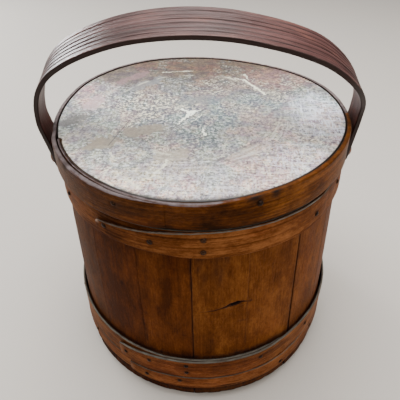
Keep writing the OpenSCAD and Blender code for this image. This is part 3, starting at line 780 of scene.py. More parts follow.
def stave(k):
    fine = k in (0, 15, 16, 17, 1, 2)
    z = [0, 0.5, 1.2, 2.2, 3.0, 6, 10, 14, 16.9, 19.1, 22.5, 25.9, 28.1]
    z += list(np.arange(31, 284, 2.4 if fine else 4.0))
    if k in (0, 17):
        z = [v for v in z if not 152 < v < 176] + list(np.arange(152, 176, 0.7))
    z += [285, 287.5, 289.4, 290.3, 290.8, 291]
    z = np.array(sorted(set(np.round(z, 3))))
    near = np.array([0.0, 0.15, 0.4, 0.8, 1.3, 2.0, 3.0])
    width = rad(20) * rs(150)
    inner_n = int((width - 8) / (0.95 if k == 0 else 1.3 if fine else 2.4))
    mid = np.linspace(4.2, width - 4.2, inner_n)
    s = np.concatenate([near, mid, width - near[::-1]])
    left, right = seam_at(k, z), seam_at(k + 1, z)
    if k == 17:
        right = seam_at(0, z) + 360
    r0 = rs(z)
    gl = np.degrees(gap_at(k, z) / r0)
    gr = np.degrees(gap_at(k + 1, z) / r0)
    a0, a1 = (left + gl)[:, None], (right - gr)[:, None]
    f = s[None, :] / width
    az = a0 + (a1 - a0) * f
    dl, dr = s[None, :] + 0 * az, (width - s)[None, :] + 0 * az
    u = 2 * f - 1
    Z = z[:, None] + 0 * az
    R = rs(Z) - STEP[k] - FACET[k] * (1 - u ** 2) * sstep(Z, -20, 60)
    R = R - 0.25 * (0.5 + 0.5 * fbm(s[None, :] / 16.0, Z / 90.0, k * 5.1, 21, 3))
    R = R - 0.10 * (0.5 + 0.5 * noise(s[None, :] / 3.2, Z / 60.0, k * 5.1, 22))
    for side, dist in ((k, dl), (k + 1, dr)):
        _, _, bw, bd = SEAMS[side % 18]
        t = np.clip(1 - dist / bw, 0, 1)
        R = R - bd * (0.8 + 0.3 * noise(Z / 14.0, side, 0, 23)) * t ** 2
    # eased ends
    R = R - 1.3 * np.clip(1 - Z / 1.6, 0, 1) ** 1.5 - 0.8 * np.clip(1 - (291 - Z) / 1.0, 0, 1) ** 1.5
    # the foot is knocked about
    R = R - 0.9 * np.clip(noise(az / 2.2, Z / 9.0, 0, 24) - 0.25, 0, 1) * (1 - sstep(Z, 4, 14))
    # worn shallower where the lid band rubs
    R = R - 0.25 * sstep(Z, 276, 283)
    R = R + bulge(az, Z)
    depth = np.zeros_like(R)
    lip = np.zeros_like(R)
    if k in (0, 17, 1):
        depth, lip = crack_field(np.where(az > 400, az - 360, az), Z)
        R = R - depth + 0.35 * lip
    azn = az % 360
    dirt_and_shade = 0.8 * np.exp(-dl / 0.8) * min(1.0, 0.10 + 1.2 * SEAMS[k][3]) + 0.8 * np.exp(-dr / 0.8) * min(1.0, 0.10 + 1.2 * SEAMS[(k + 1) % 18][3])
    dirt_and_shade = dirt_and_shade + np.clip(depth / 0.9, 0, 1.3)
    # darker just under the top hoop, which is painted shade, and just above the lower hoop, fading up from it
    dirt_and_shade = dirt_and_shade + 0.42 * np.exp(-np.clip(243.5 - Z, 0, 99) / 3.0) + 0.60 * np.exp(-np.clip(Z - 80.5, 0, 99) / 2.4) * (Z > 78)
    dirt_and_shade = dirt_and_shade + 0.22 * np.exp(-np.clip(Z - 80.5, 0, 200) / 13.0) * (Z > 80) * (0.6 + 0.5 * noise(az / 3.0, Z / 20.0, 0, 31))
    # painted shade: darker over the stave ends below the foot hoop, with a lighter line at z 5, and in the gap between
    # the top hoop and the lid band
    dirt_and_shade = dirt_and_shade + (0.62 - 0.30 * np.exp(-((Z - 5.2) / 1.3) ** 2)) * (Z < 25) + 0.5 * (Z > 273) * (Z < 277)
    for a, mz, hw, hh, lean, strength in MARKS:
        dx = wrap(azn - a) * 2.86 - lean * (Z - mz)
        dirt_and_shade = dirt_and_shade + strength * np.exp(-(dx / hw) ** 2 - ((Z - mz) / hh) ** 2) * (0.8 + 0.4 * noise(dx / 1.5, Z / 3.0, 0, 33))
    # the grey smoky stain beside the front joint
    if k == 0:
        stain = sstep(Z, 168, 236) * sstep(dl, 0.5, 8) * (1 - sstep(dl, 26, 48)) * (0.6 + 0.6 * fbm(dl / 9.0, Z / 30.0, 0, 34))
        dirt_and_shade = dirt_and_shade + 0.34 * np.clip(stain, 0, 1)
    wear = 0.55 * lip * (az > 100) * (1 - sstep(np.where(az > 400, az - 360, az), 278.0, 280.5)) + 0.34 * np.exp(-((Z - 5.2) / 1.1) ** 2) * (0.6 + 0.8 * lobe(az, 280, 16))
    if k == 17:
        streak = np.exp(-((wrap(azn - 241.6) * 2.86 + (Z - 154) * 0.9) / 1.2) ** 2 - ((Z - 154) / 4.0) ** 2)
        wear = wear + 0.8 * streak
    tone = TONE_AND_SHADE[k] + 0.05 * noise(az / 4.0, Z / 70.0, 0, 36)
    if k == 0:
        tone = tone + 0.13 * sstep(dl, 12, 34)
    red = HUE[k] + 0.25 * np.clip(fbm(az / 5.0, Z / 50.0, 0, 37), 0, 1)
    outer = polar(R, az, Z)
    n_in = 9
    fi = np.linspace(1, 0, n_in)[None, :]
    azi = a0 + (a1 - a0) * fi
    Zi = z[:, None] + 0 * azi
    Ri = rs(Zi) - STAVE_T + croze(Zi) + np.where(Zi < 3, 0, 0) + bulge(azi, Zi)
    Ri = Ri + 3.0 * np.clip(1 - Zi / 3.0, 0, 1) + 1.0 * np.clip(1 - (291 - Zi) / 1.0, 0, 1)
    inner = polar(Ri, azi, Zi)
    P = np.concatenate([outer, inner], 1)
    off = k * 137.0
    gc_o = vec(Z, az * 2.86 * 0 + s[None, :] + off, (171 - R) + off * 0.3)
    gc_i = vec(Zi, (fi * width) + off, 12.0 + 0 * Zi + off * 0.3)
    mk_o = vec(wear, np.clip(dirt_and_shade, 0, 1), 0 * Z)
    bare_i = 0 * Zi + 1.0
    mk_i = vec(0 * Zi, 0.12 + 0 * Zi + 0.5 * (Zi < 17), bare_i)
    tn_o = vec(tone, np.clip(red, 0, 1), 0 * Z)
    tn_i = vec(0 * Zi, 0 * Zi, 0 * Zi)
    g = Geo()
    ids = g.grid(P, np.concatenate([gc_o, gc_i], 1), np.concatenate([mk_o, mk_i], 1), np.concatenate([tn_o, tn_i], 1), closed_v=True)
    g.cap(ids[0])
    g.cap(ids[-1][::-1])
    g.close()
    name = "stave_%02d" % (k + 1)
    ob = g.make("look_" + name, [name], "bucket", [stave_mat.m], sharp=50)
    if k in (4, 13):
        bore(ob, 6.32)
    return ob


for k in range(18):
    stave(k)

# ---------------------------------------------------------------- bottom
def bottom_board():
    g = Geo()
    rings = [(0.4, 17.0), (40, 17.0), (80, 17.0), (120, 17.0), (150, 17.0), (157.5, 17.0), (158.2, 17.15), (160, 18.2), (161.9, 19.4),
             (162.0, 22.5), (161.6, 25.6), (159.5, 26.8), (157.6, 27.8), (156.9, 28.0), (150, 28.0), (120, 28.0), (80, 28.0), (40, 28.0), (0.4, 28.0)]
    az = np.linspace(0, 360, 144, endpoint=False)
    R = np.array([r for r, _ in rings])[:, None] + 0 * az
    Z = np.array([h for _, h in rings])[:, None] + 0 * az
    A = az[None, :] + 0 * R
    x, y = R * np.cos(rad(A)), R * np.sin(rad(A))
    Z = Z + 0.25 * noise(x / 30.0, y / 9.0, 0, 51) * np.sign(22.5 - Z) * -1 * (R < 155)
    k = 1 + bulge(A, 20.0) / 160.0
    P = np.stack([x * k, y * k, Z], -1)
    dirt_and_shade = 0.12 + 0.5 * np.exp(-(162 - R) / 6.0)
    ids = g.grid(P, vec(x, y, Z + 900), vec(0 * R, np.clip(dirt_and_shade, 0, 1), 0 * R + 0.35), vec(0 * R - 0.05, 0 * R, 0 * R), closed_v=True)
    g.cap(ids[0])
    g.cap(ids[-1][::-1])
    g.close()
    g.make("look_bottom_board", ["bottom_board"], "bucket", [bottom_mat.m])


bottom_board()


# ---------------------------------------------------------------- hoops
def section(t, w, ro, ri, n_face, n_top=5, n_in=4, n_bot=4):
    """rounded section of a bent strip, station by station: (depth from the inner face, height from the lower edge) and which part of the
    section each point is on: 0 outer face, 1 top, 2 inner, 3 bottom"""
    t, w = t[:, None], w[:, None]
    ro = np.minimum(ro, np.minimum(t, w) * 0.45)
    ri = np.minimum(ri, np.minimum(t, w) * 0.4)
    arc = np.radians([18, 45, 72])[None, :]
    one = np.ones_like(t)
    face = np.linspace(0, 1, n_face)[None, :]
    d = [t * one * np.ones_like(face)]
    h = [ro + (w - 2 * ro) * face]
    part = [np.zeros(n_face)]
    d.append(t - ro + ro * np.cos(arc)); h.append(w - ro + ro * np.sin(arc)); part.append(np.full(3, 0.5))
    top = np.linspace(0, 1, n_top)[None, :]
    d.append(t - ro + (ri - t + ro) * top); h.append(w * np.ones_like(top)); part.append(np.full(n_top, 1))
    d.append(ri - ri * np.sin(arc)); h.append(w - ri + ri * np.cos(arc)); part.append(np.full(3, 1.5))
    inn = np.linspace(0, 1, n_in)[None, :]
    d.append(0 * t * inn); h.append(w - ri + (2 * ri - w) * inn); part.append(np.full(n_in, 2))
    d.append(ri - ri * np.cos(arc)); h.append(ri - ri * np.sin(arc)); part.append(np.full(3, 2.5))
    bot = np.linspace(0, 1, n_bot)[None, :]
    d.append(ri + (t - ro - ri) * bot); h.append(0 * w * bot); part.append(np.full(n_bot, 3))
    d.append(t - ro + ro * np.sin(arc)); h.append(ro - ro * np.cos(arc)); part.append(np.full(3, 3.5))
    return np.concatenate([x + 0 * t for x in d], 1), np.concatenate([x + 0 * t for x in h], 1), np.concatenate(part)


def strip(name, node, body, material, tip, way, lap, thick, low, high, base, apart, ramp=9.0, ro=0.9, ri=0.35,
          tacks=(), seed=0, face_n=16, edge_wear=0.8, paint=None, bare_tip=0.0, extra=None, r_mean=166.0, flat_wear=1.0, bare=None, whole=False):
    """one bent strip that starts at its outer tip on bearing tip, runs round in direction way (1 or -1) and ends under itself, lap degrees
    past one turn. thick, low, high: functions of the angle along it. base(az, z): radius that it lies on. apart(phi): gap between layers"""
    total = 360.0 + lap
    fine = 1.15 / r_mean * 57.3
    coarse = 2.1 / r_mean * 57.3
    phi = [np.array([0, 0.05, 0.14, 0.28, 0.5]), np.arange(0.8, lap + 6, fine), np.arange(lap + 6 + coarse, 360 - 2, coarse),
           np.arange(360, total - 0.4, coarse * 1.3), np.array([total - 0.2, total - 0.06, total])]
    phi = np.concatenate(phi)
    az = tip + way * phi
    t, z0, z1 = thick(phi), low(phi), high(phi)
    # round the two ends off
    arc_mm = phi * r_mean / 57.3
    end_mm = (total - phi) * r_mean / 57.3
    inset = 1.0 * (1 - np.sqrt(np.clip(1 - (1 - np.clip(arc_mm / 1.2, 0, 1)) ** 2, 0, 1)))
    inset = inset + 0.6 * (1 - np.clip(end_mm / 0.8, 0, 1)) ** 2
    shrink = np.minimum(inset, t * 0.32)
    z0, z1 = z0 + inset, z1 - inset
    d, h, part = section(t - 2 * shrink, z1 - z0, ro, ri, face_n)
    d = d + shrink[:, None]
    AZ = az[:, None] + 0 * d
    PH = phi[:, None] + 0 * d
    Z = z0[:, None] + h
    under = np.where(phi <= lap, thick(phi + 360.0) + apart(phi), 0.0)
    past = (phi > lap) & (phi < lap + ramp)
    rest = (thick(np.array([total])) + apart(np.array([lap])))[0]
    under = np.where(past, rest * (1 - sstep(phi, lap, lap + ramp)), under)
    cx, cy = np.cos(rad(AZ)), np.sin(rad(AZ))
    outer = (d > t[:, None] * 0.6).astype(float)
    rough_face = 0.16 * fbm(cx * 9 + PH * 0.02, cy * 9, Z / 11.0, seed + 3, 3) + 0.07 * noise(cx * 40, cy * 40, Z / 2.4, seed + 4)
    wav = 0.28 * noise(cx[:, :1] * 4.5, cy[:, :1] * 4.5, PH[:, :1] / 360.0, seed + 5)
    nick = -0.7 * np.clip(noise(PH[:, :1] * 0.9, 0, 0, seed + 6) - 0.55, 0, 1) - 0.5 * np.clip(noise(PH[:, :1] * 2.3, 3, 0, seed + 7) - 0.6, 0, 1)
    hz = h / np.maximum((z1 - z0)[:, None], 1e-6)
    Z = Z + (wav + nick) * sstep(hz, 0.6, 1.0) + 0.22 * noise(cx[:, :1] * 4.1, cy[:, :1] * 4.1, 4 + PH[:, :1] / 360.0, seed + 8) * (1 - sstep(hz, 0, 0.4))
    R = base(AZ, Z) + under[:, None] + d + rough_face * outer
    dirt_and_shade = np.zeros_like(R)
    face = (part <= 0.5) | (part >= 3.5)
    wear = np.zeros_like(R)
    wear += ((part >= 0.5) & (part <= 1.5))[None, :] * edge_wear * np.where(part == 0.5, 1.0, flat_wear)[None, :]
    wear += 0.30 * edge_wear * (part == 0)[None, :] * sstep(hz, 0.88, 1.0)
    wear += 0.25 * ((part >= 3.5))[None, :] * 1.0
    # painted shade where the strip meets what it lies on, and along the lap: darker at the inner edge of the top face,
    # on the inner face and on the bottom
    dirt_and_shade += 0.7 * (d < 0.9) * ((part >= 1) & (part <= 2))[None, :]
    dirt_and_shade += ((part >= 2) & (part <= 3))[None, :] * 0.35
    dents = np.zeros_like(R)
    for ta, tz, _ in tacks:
        for turn in (0, 360):
            p = ((ta - tip) * way) % 360 + turn
            if p > total + 1:
                continue
            if turn == 360 and p - 360 <= lap:
                continue
            dx = (PH - p) * r_mean / 57.3
            q = np.hypot(dx, Z - tz)
            dents += 0.55 * np.exp(-(q / 3.4) ** 2) * face[None, :]
            dirt_and_shade += 0.75 * np.exp(-(q / 2.9) ** 4) * face[None, :] + 0.16 * np.exp(-(dx / 8.0) ** 2 - ((Z - tz) / 2.4) ** 2) * face[None, :]
    R = R - dents
    naked = bare_tip * (1 - sstep(arc_mm, 2.0, 7.5))[:, None] + 0 * R
    if bare is not None:
        naked = naked + bare(PH, hz) * (part <= 1.5)[None, :]
    wear = wear * (1 - 0.8 * np.clip(naked, 0, 1))
    tone = 0.06 * fbm(cx * 5, cy * 5, Z / 14.0, seed + 9) - 0.05 * (PH > 360)
    red = 0.15 + 0.5 * np.clip(fbm(cx * 3.2 + 5, cy * 3.2, Z / 30.0, seed + 10), 0, 1)
    if paint is not None:
        w2, d2, t2, r2 = paint(AZ % 360, Z, PH, hz, part[None, :] + 0 * R, d)
        wear, dirt_and_shade, tone, red = wear + w2, dirt_and_shade + d2, tone + t2, red + r2
    if extra is not None:
        R = R + extra(AZ % 360, Z, PH, hz, part[None, :] + 0 * R, d)
    zl = lift_of[name](AZ, R, Z) if name in lift_of else 0.0
    P = polar(R, AZ, Z + zl)
    g = Geo()
    gc = vec(R * cx + seed * 31, Z, R * cy + seed * 7.3) if whole else vec(PH * r_mean / 57.3 + seed * 31, Z, d + seed * 7.3)
    ids = g.grid(P, gc, vec(np.clip(wear, 0, 1), np.clip(dirt_and_shade, 0, 1), np.clip(naked, 0, 1)),
                 vec(tone, np.clip(red, 0, 1), 0 * R), closed_v=True)
    g.cap(ids[0])
    g.cap(ids[-1][::-1])
    g.close()
    ob = g.make(name, [node], body, [material.m], sharp=48)
    if node == "top_hoop":
        bore(ob, 6.32)
    out = (part == 0)
    return {"az": (AZ % 360)[:, out], "z": Z[:, out], "r": R[:, out]}


lift_of = {"look_lid_band": lambda az, r, z: lift(az, r) * sstep(z, 276, 304)}


def table(*pairs):
    xs, ys = zip(*pairs)
    return lambda p: np.interp(p, xs, ys)


# top hoop: its tongue ends at bearing 232
TOP_TACKS = [(236.3, 260, 2), (253.6, 259, 2), (270.5, 266, 2), (270.4, 251.5, 2), (312.4, 255.6, 2), (330, 263, 1), (18, 258, 1), (58, 259, 1),
             (98, 257, 1), (138, 259, 1), (168, 262, 1), (212, 258, 1)]
LOW_TACKS = [(237.3, 64, 2), (248.2, 68.6, 2), (263, 72.4, 2), (263, 58.4, 2), (292.2, 69.2, 2), (318, 65, 1), (355, 66, 1), (35, 64, 1), (75, 67, 1),
             (115, 65, 1), (155, 64, 1), (195, 66, 1)]
FOOT_TACKS = [(246.1, 34.5, 2), (260, 38.6, 2), (303, 31, 2), (325, 36, 1), (8, 35, 1), (50, 37, 1), (92, 36, 1), (134, 35, 1), (176, 36, 1), (214, 35, 1)]
LID_TACKS = [(242.3, 293, 2), (288, 297, 1), (350, 296, 1), (14, 295, 1), (48, 296, 1), (84, 295, 1),
             (118, 296, 1), (150, 295, 1), (180, 296, 1)]

top_hoop = strip(
    "look_top_hoop", "top_hoop", "bucket", hoop_mat, 232.0, 1, 88.0,
    table((0, 1.9), (4, 2.5), (10, 2.85), (360, 2.85), (436, 2.85), (444, 2.0), (448, 0.9)),
    table((0, 252.6), (1.0, 251.2), (3, 250.0), (8, 248.4), (18, 247.4), (26, 246.2), (33, 244.2), (38, 243.5), (448, 243.5)),
    table((0, 261.0), (0.7, 262.2), (2, 263.4), (4, 264.4), (8, 266.0), (13, 267.7), (18, 269.4), (23, 271.0), (28, 272.2), (33, 273.2), (38, 274.0), (448, 274.0)),
    lambda az, z: rs(z) + FIT + bulge(az, z), table((0, 0.5), (6, 0.25), (14, 0.12), (88, 0.12)),
    tacks=TOP_TACKS, seed=61, bare_tip=0.0, flat_wear=0.6, ro=0.75, ri=0.3,
    # painted shadow of the lid band on the inner part of the top face, and painted shade darkening the front left
    paint=lambda az, z, ph, hz, part, d: (0.0, 0.40 * (part >= 1) * (part <= 1.5) * (d < 2.2),
                                          0.05 * (ph < 88) + 0.10 * lobe(az, 290, 40) * (part == 0) - 0.12 * lobe(az, 236, 22), 0.0),
    bare=lambda ph, hz: 0.9 * (1 - sstep(ph, 0.5, 2.6)) * sstep(hz, 0.62, 0.88))

lower_hoop = strip(
    "look_lower_hoop", "lower_hoop", "bucket", hoop_mat, 234.0, 1, 68.0,
    table((0, 1.9), (4, 2.5), (10, 2.85), (360, 2.85), (416, 2.85), (424, 2.0), (428, 0.9)),
    table((0, 53.0), (1.5, 50.9), (4, 49.3), (9, 48.5), (428, 48.5)),
    table((0, 73.6), (1.0, 75.0), (5, 75.9), (11, 78.0), (15, 79.2), (23, 80.5), (30, 80.5), (428, 80.5)),
    lambda az, z: rs(z) + 0.4 + 1.0 * np.clip((z - 48.5) / 32.0, 0, 1) + bulge(az, z),
    table((0, 1.7), (8, 1.2), (16, 0.6), (23, 0.2), (68, 0.12)),
    tacks=LOW_TACKS, seed=67, bare_tip=0.15, r_mean=171.0, flat_wear=0.78, ro=0.75, ri=0.3,
    # painted shade: darker along the bottom of the outer face over the gap to the foot hoop, at the inner edge of the
    # top face, and at the front left
    paint=lambda az, z, ph, hz, part, d: (0.10 * (part == 1), 0.30 * (part == 0) * (1 - sstep(hz, 0.0, 0.12)) + 0.3 * (part >= 1) * (part <= 1.5) * (d < 1.6) * (ph > 88),
                                          0.05 - 0.10 * lobe(az, 236, 26), 0.35 * lobe(az, 265, 32)))

foot_hoop = strip(
    "look_foot_hoop", "foot_hoop", "bucket", hoop_mat, 238.0, 1, 70.0,
    table((0, 1.9), (4, 2.5), (10, 2.85), (360, 2.85), (418, 2.85), (426, 2.0), (430, 0.9)),
    table((0, 28.2), (1.5, 26.4), (4, 25.4), (9, 25.0), (430, 25.0)),
    table((0, 41.6), (1.0, 42.9), (5, 43.8), (12, 45.2), (20, 46.3), (26, 46.4), (430, 46.4)),
    lambda az, z: rs(z) + FIT + bulge(az, z), table((0, 0.7), (8, 0.35), (16, 0.12), (70, 0.12)),
    tacks=FOOT_TACKS, seed=71, bare_tip=0.15, r_mean=173.0, flat_wear=0.5, ro=0.75, ri=0.3,
    paint=lambda az, z, ph, hz, part, d: (0.22 * (part == 0) * np.exp(-((hz - 0.03) / 0.05) ** 2) * lobe(az, 281, 13),
                                          0.85 * (part == 0) * np.exp(-((hz - 0.13) / 0.07) ** 2) * lobe(az, 280, 8), 0.02 + 0.08 * lobe(az, 285, 30), 0.1))

# lid band: its outer end is at bearing 259 and it runs the other way round. The inner end lies inside the outer layer, a little into the
# edge of the board
LAP_LINE = table((195, 1.2), (226, 1.4), (236, 1.65), (245, 2.3), (255, 3.1), (262, 4.0), (275, 4.55), (300, 4.55))
LAP_IN = table((195, -1.8), (200, -1.8), (230, -1.8), (236, -1.5), (245, -0.6), (255, 0.0), (300, 0.0))


def band_thick(p):
    p = np.asarray(p, float)
    az = 259.0 - p
    first = np.interp(p, (0, 1.0, 3, 8, 16, 26), (0.35, 0.6, 1.15, 2.3, 3.6, 4.55))
    last = LAP_LINE(az + 360.0)
    return np.where(p >= 344, last, first)


def band_extra(az, z, ph, hz, part, d):
    # above the staves the inner end comes further in than the rest of the band
    inner = (ph >= 344) * LAP_IN(az) * sstep(z, 290.5, 293.5)
    whole = 1 - np.clip(d / 2.6, 0, 1)
    return inner * whole + top_lean(az, z)


lid_band = strip(
    "look_lid_band", "lid_band", "lid", band_mat, 259.0, -1, 59.0, band_thick,
    table((0, 277.4), (1.5, 276.4), (4, 276.1), (419, 276.1)),
    table((0, 302.6), (1.2, 303.8), (4, 304.0), (419, 304.0)),
    lambda az, z: rs(z) + LID_GAP + bulge(az, z),
    table((0, 0.35), (10, 0.25), (30, 0.25), (50, 0.3), (59, 0.35)),
    tacks=LID_TACKS, seed=83, bare_tip=0.0, r_mean=161.0, ro=1.5, edge_wear=1.0, ramp=6.0, whole=True,
    paint=lambda az, z, ph, hz, part, d: (
        (part <= 1.5) * (-0.75 * sstep(az, 262, 292) * (az < 355) - 0.45 * lobe(az, 70, 110) * sstep(d, 1.0, 1.9))
        - 0.35 * (part == 0.5) - 0.5 * (part == 0) * sstep(hz, 0.9, 1.0),
        0.65 * (part < 1) * lobe(az, 286.5, 4) * sstep(hz, 0.72, 0.92) + 0.8 * (part < 1) * lobe(az, 293.5, 2.2) * sstep(hz, 0.72, 0.85)
        + 0.6 * (part < 1.6) * (lobe(az, 218, 3) + 0.8 * lobe(az, 213, 1.6)) * sstep(hz, 0.72, 0.92) + 0.25 * (part >= 0.5) * (part <= 1.5) * sstep(az, 265, 290),
        0.16 * lobe(az, 318, 40) * (part == 0) - 0.06 * lobe(az, 265, 30) * (part == 0), 0.2 * lobe(az, 270, 30)),
    extra=band_extra)


# ---------------------------------------------------------------- tacks
def tacks(name, node, body, spots, surface, seed, tone={}):
    g = Geo()
    rnd = np.random.default_rng(seed)
    for a, z, _ in spots:
        d = np.hypot(wrap(surface["az"] - a) * 2.9, surface["z"] - z)
        near = np.argsort(d, axis=None)[:30]
        r = surface["r"].reshape(-1)[near].max() + 0.12
        size = 2.4 * rnd.uniform(0.92, 1.08)
        prof = [(0.02, 1.05), (0.8, 1.0), (1.5, 0.78), (2.0, 0.48), (2.3, 0.2), (2.4, 0.0), (2.3, -0.3), (1.0, -0.5), (0.78, -0.9), (0.75, -8.0), (0.3, -10.8), (0.02, -11.0)]
        ang = np.linspace(0, 360, 20, endpoint=False)
        rr = np.array([p[0] for p in prof])[:, None] * (size / 2.4) * (1 + 0.06 * noise(np.cos(rad(ang)) * 1.4, np.sin(rad(ang)) * 1.4, a, seed)[None, :] * (np.arange(len(prof)) < 8)[:, None])
        hh = np.array([p[1] for p in prof])[:, None] + 0.12 * noise(rr * np.cos(rad(ang)), rr * np.sin(rad(ang)), a, seed + 1) * (np.arange(len(prof)) < 6)[:, None]
        lx, lz = rr * np.cos(rad(ang))[None, :], rr * np.sin(rad(ang))[None, :]
        c, s = math.cos(math.radians(a)), math.sin(math.radians(a))
        tilt = math.atan(TAPER)
        # outward, sideways and upward directions at the tack
        out = np.array([c * math.cos(tilt), s * math.cos(tilt), math.sin(tilt)])
        side = np.array([-s, c, 0.0])
        up = np.cross(out, side)
        centre = np.array([r * c, r * s, z])
        P = centre + hh[..., None] * out + lx[..., None] * side + lz[..., None] * up
        ids = g.grid(P, P + seed * 3, None, vec(tone.get((a, z), rnd.uniform(-0.15, 0.1)), 0, 0), closed_v=True)
        g.cap(ids[0])
        g.cap(ids[-1][::-1])
        g.close()
    g.make(name, [node], body, [tack_mat.m], sharp=60)


tacks("look_top_hoop_tacks", "top_hoop_tacks", "bucket", TOP_TACKS, top_hoop, 101, {(270.5, 266): 0.10, (270.4, 251.5): 0.08})
tacks("look_lower_hoop_tacks", "lower_hoop_tacks", "bucket", LOW_TACKS, lower_hoop, 103)
tacks("look_foot_hoop_tacks", "foot_hoop_tacks", "bucket", FOOT_TACKS, foot_hoop, 107)
tacks("look_lid_band_tacks", "lid_band_tacks", "lid", LID_TACKS, lid_band, 109)


# ---------------------------------------------------------------- lid board
def lid_board():
    g = Geo()
    az = np.linspace(0, 360, 420, endpoint=False)
    gap = 0.40 + 0.55 * lobe(az, 232, 40) + 1.5 * lobe(az, 268, 17) + 0.5 * lobe(az, 322, 30) + 0.2 * lobe(az, 190, 30)
    # a small notch in the edge where the band's inner end starts
    notch = 1.5 * np.clip(1 - np.abs(wrap(az - 201.0)) / 1.8, 0, 1)
    inner = np.where((az > 198.8) & (az < 300), LAP_IN(az), 0.0) * sstep(az, 198.8, 200.2)
    rim = rs(303.0) + LID_GAP - 0.1 - gap - notch + bulge(az, 303.0) + inner + LEAN_TOP(az)
    top = np.concatenate([np.linspace(0.6, 150, 116)])
    f = top / 156.0
    R1 = f[:, None] * rim[None, :]
    edge = [(-1.6, -0.02), (-1.0, -0.08), (-0.5, -0.28), (-0.15, -0.65), (0.0, -1.2), (0.0, -4.0), (0.1, -8.0), (0.1, -11.6), (-0.4, -12.0)]
    R2 = np.array([rim + e[0] for e in edge])
    Z1 = 0 * R1
    Z2 = np.array([e[1] + 0 * rim for e in edge])
    low = np.linspace(150, 0.6, 14)
    R3 = (low / 156.0)[:, None] * rim[None, :]
    Z3 = 0 * R3 - 12.0
    R, Z = np.concatenate([R1, R2, R3]), np.concatenate([Z1, Z2, Z3])
    A = az[None, :] + 0 * R
    x, y = R * np.cos(rad(A)), R * np.sin(rad(A))
    is_top = np.concatenate([np.ones(len(R1)), np.ones(4), np.zeros(len(edge) - 4 + len(R3))])[:, None]
    ca, sa = math.cos(math.radians(-28)), math.sin(math.radians(-28))
    along, across = x * ca + y * sa, y * ca - x * sa
    relief = 0.28 * fbm(along / 120.0, across / 14.0, 0, 141, 3) + 0.10 * noise(along / 30.0, across / 2.6, 0, 142) + 0.12 * fbm(x / 7.0, y / 7.0, 0, 143, 2)
    # chips lie lower than the paint around them
    for (ax, ay, bx, by, hw) in ((-17, 2, -7, -3, 3.4), (-12, -4, -13, -14, 2.6), (5, -38, 8, -54, 1.9)):
        l2 = (bx - ax) ** 2 + (by - ay) ** 2
        t = np.clip(((x - ax) * (bx - ax) + (y - ay) * (by - ay)) / l2, 0, 1)
        q = np.hypot(x - ax - t * (bx - ax), y - ay - t * (by - ay))
        relief = relief - 0.35 * (1 - sstep(q, hw, hw + 1.4))
    Z = Z + relief * is_top * sstep(156 - R, 0.5, 6) - 0.25 * is_top
    Z = Z + 303.55 + lift(A, R)
    # painted shade: near black along the board's edge, wider at the front, and down its side in the gap
    line = 1.0 + 1.4 * lobe(az, 266, 42) + 0.5 * lobe(az, 322, 40)
    dirt_and_shade = is_top * (1 - sstep(rim[None, :] - R, line * 0.55, line * 1.35)) + 0.95 * (1 - is_top) * (Z > 292)
    bare = (1 - is_top) * (Z < 302.4)
    P = np.stack([x, y, Z], -1)
    ids = g.grid(P, vec(x, y, 0 * x), vec(0 * x, np.clip(dirt_and_shade, 0, 1), bare), None, closed_v=True)
    g.cap(ids[0])
    g.cap(ids[-1][::-1])
    g.close()
    g.make("look_lid_board", ["lid_board"], "lid", [paint_mat.m], sharp=40)


lid_board()

# ---------------------------------------------------------------- handle
BOW = np.array([(-168.3, -15), (-168.3, 8), (-168.3, 32), (-168, 58), (-164, 79.5), (-156.5, 97.5), (-144.7, 113.3), (-129, 126.2), (-108.3, 137.5),
                (-81.4, 147.8), (-54.4, 154.5), (-25.4, 158.2), (2.6, 159), (30.6, 157), (58.6, 152), (85.6, 145), (112.5, 134.7), (132.6, 121.8),
                (147.6, 107.3), (158.4, 91.8), (165.2, 75.2), (168, 56), (168.3, 32), (168.3, 8), (168.3, -15)], float)


def smooth_path(p, k):
    out = []
    n = len(p) - 1
    for i in range(n):
        a, b, c, d = p[max(i - 1, 0)], p[i], p[i + 1], p[min(i + 2, n)]
        for j in range(k):
            t = j / k
            out.append(0.5 * (2 * b + (c - a) * t + (2 * a - 5 * b + 4 * c - d) * t * t + (3 * b - a - 3 * c + d) * t ** 3))
    out.append(p[-1])
    return np.array(out)


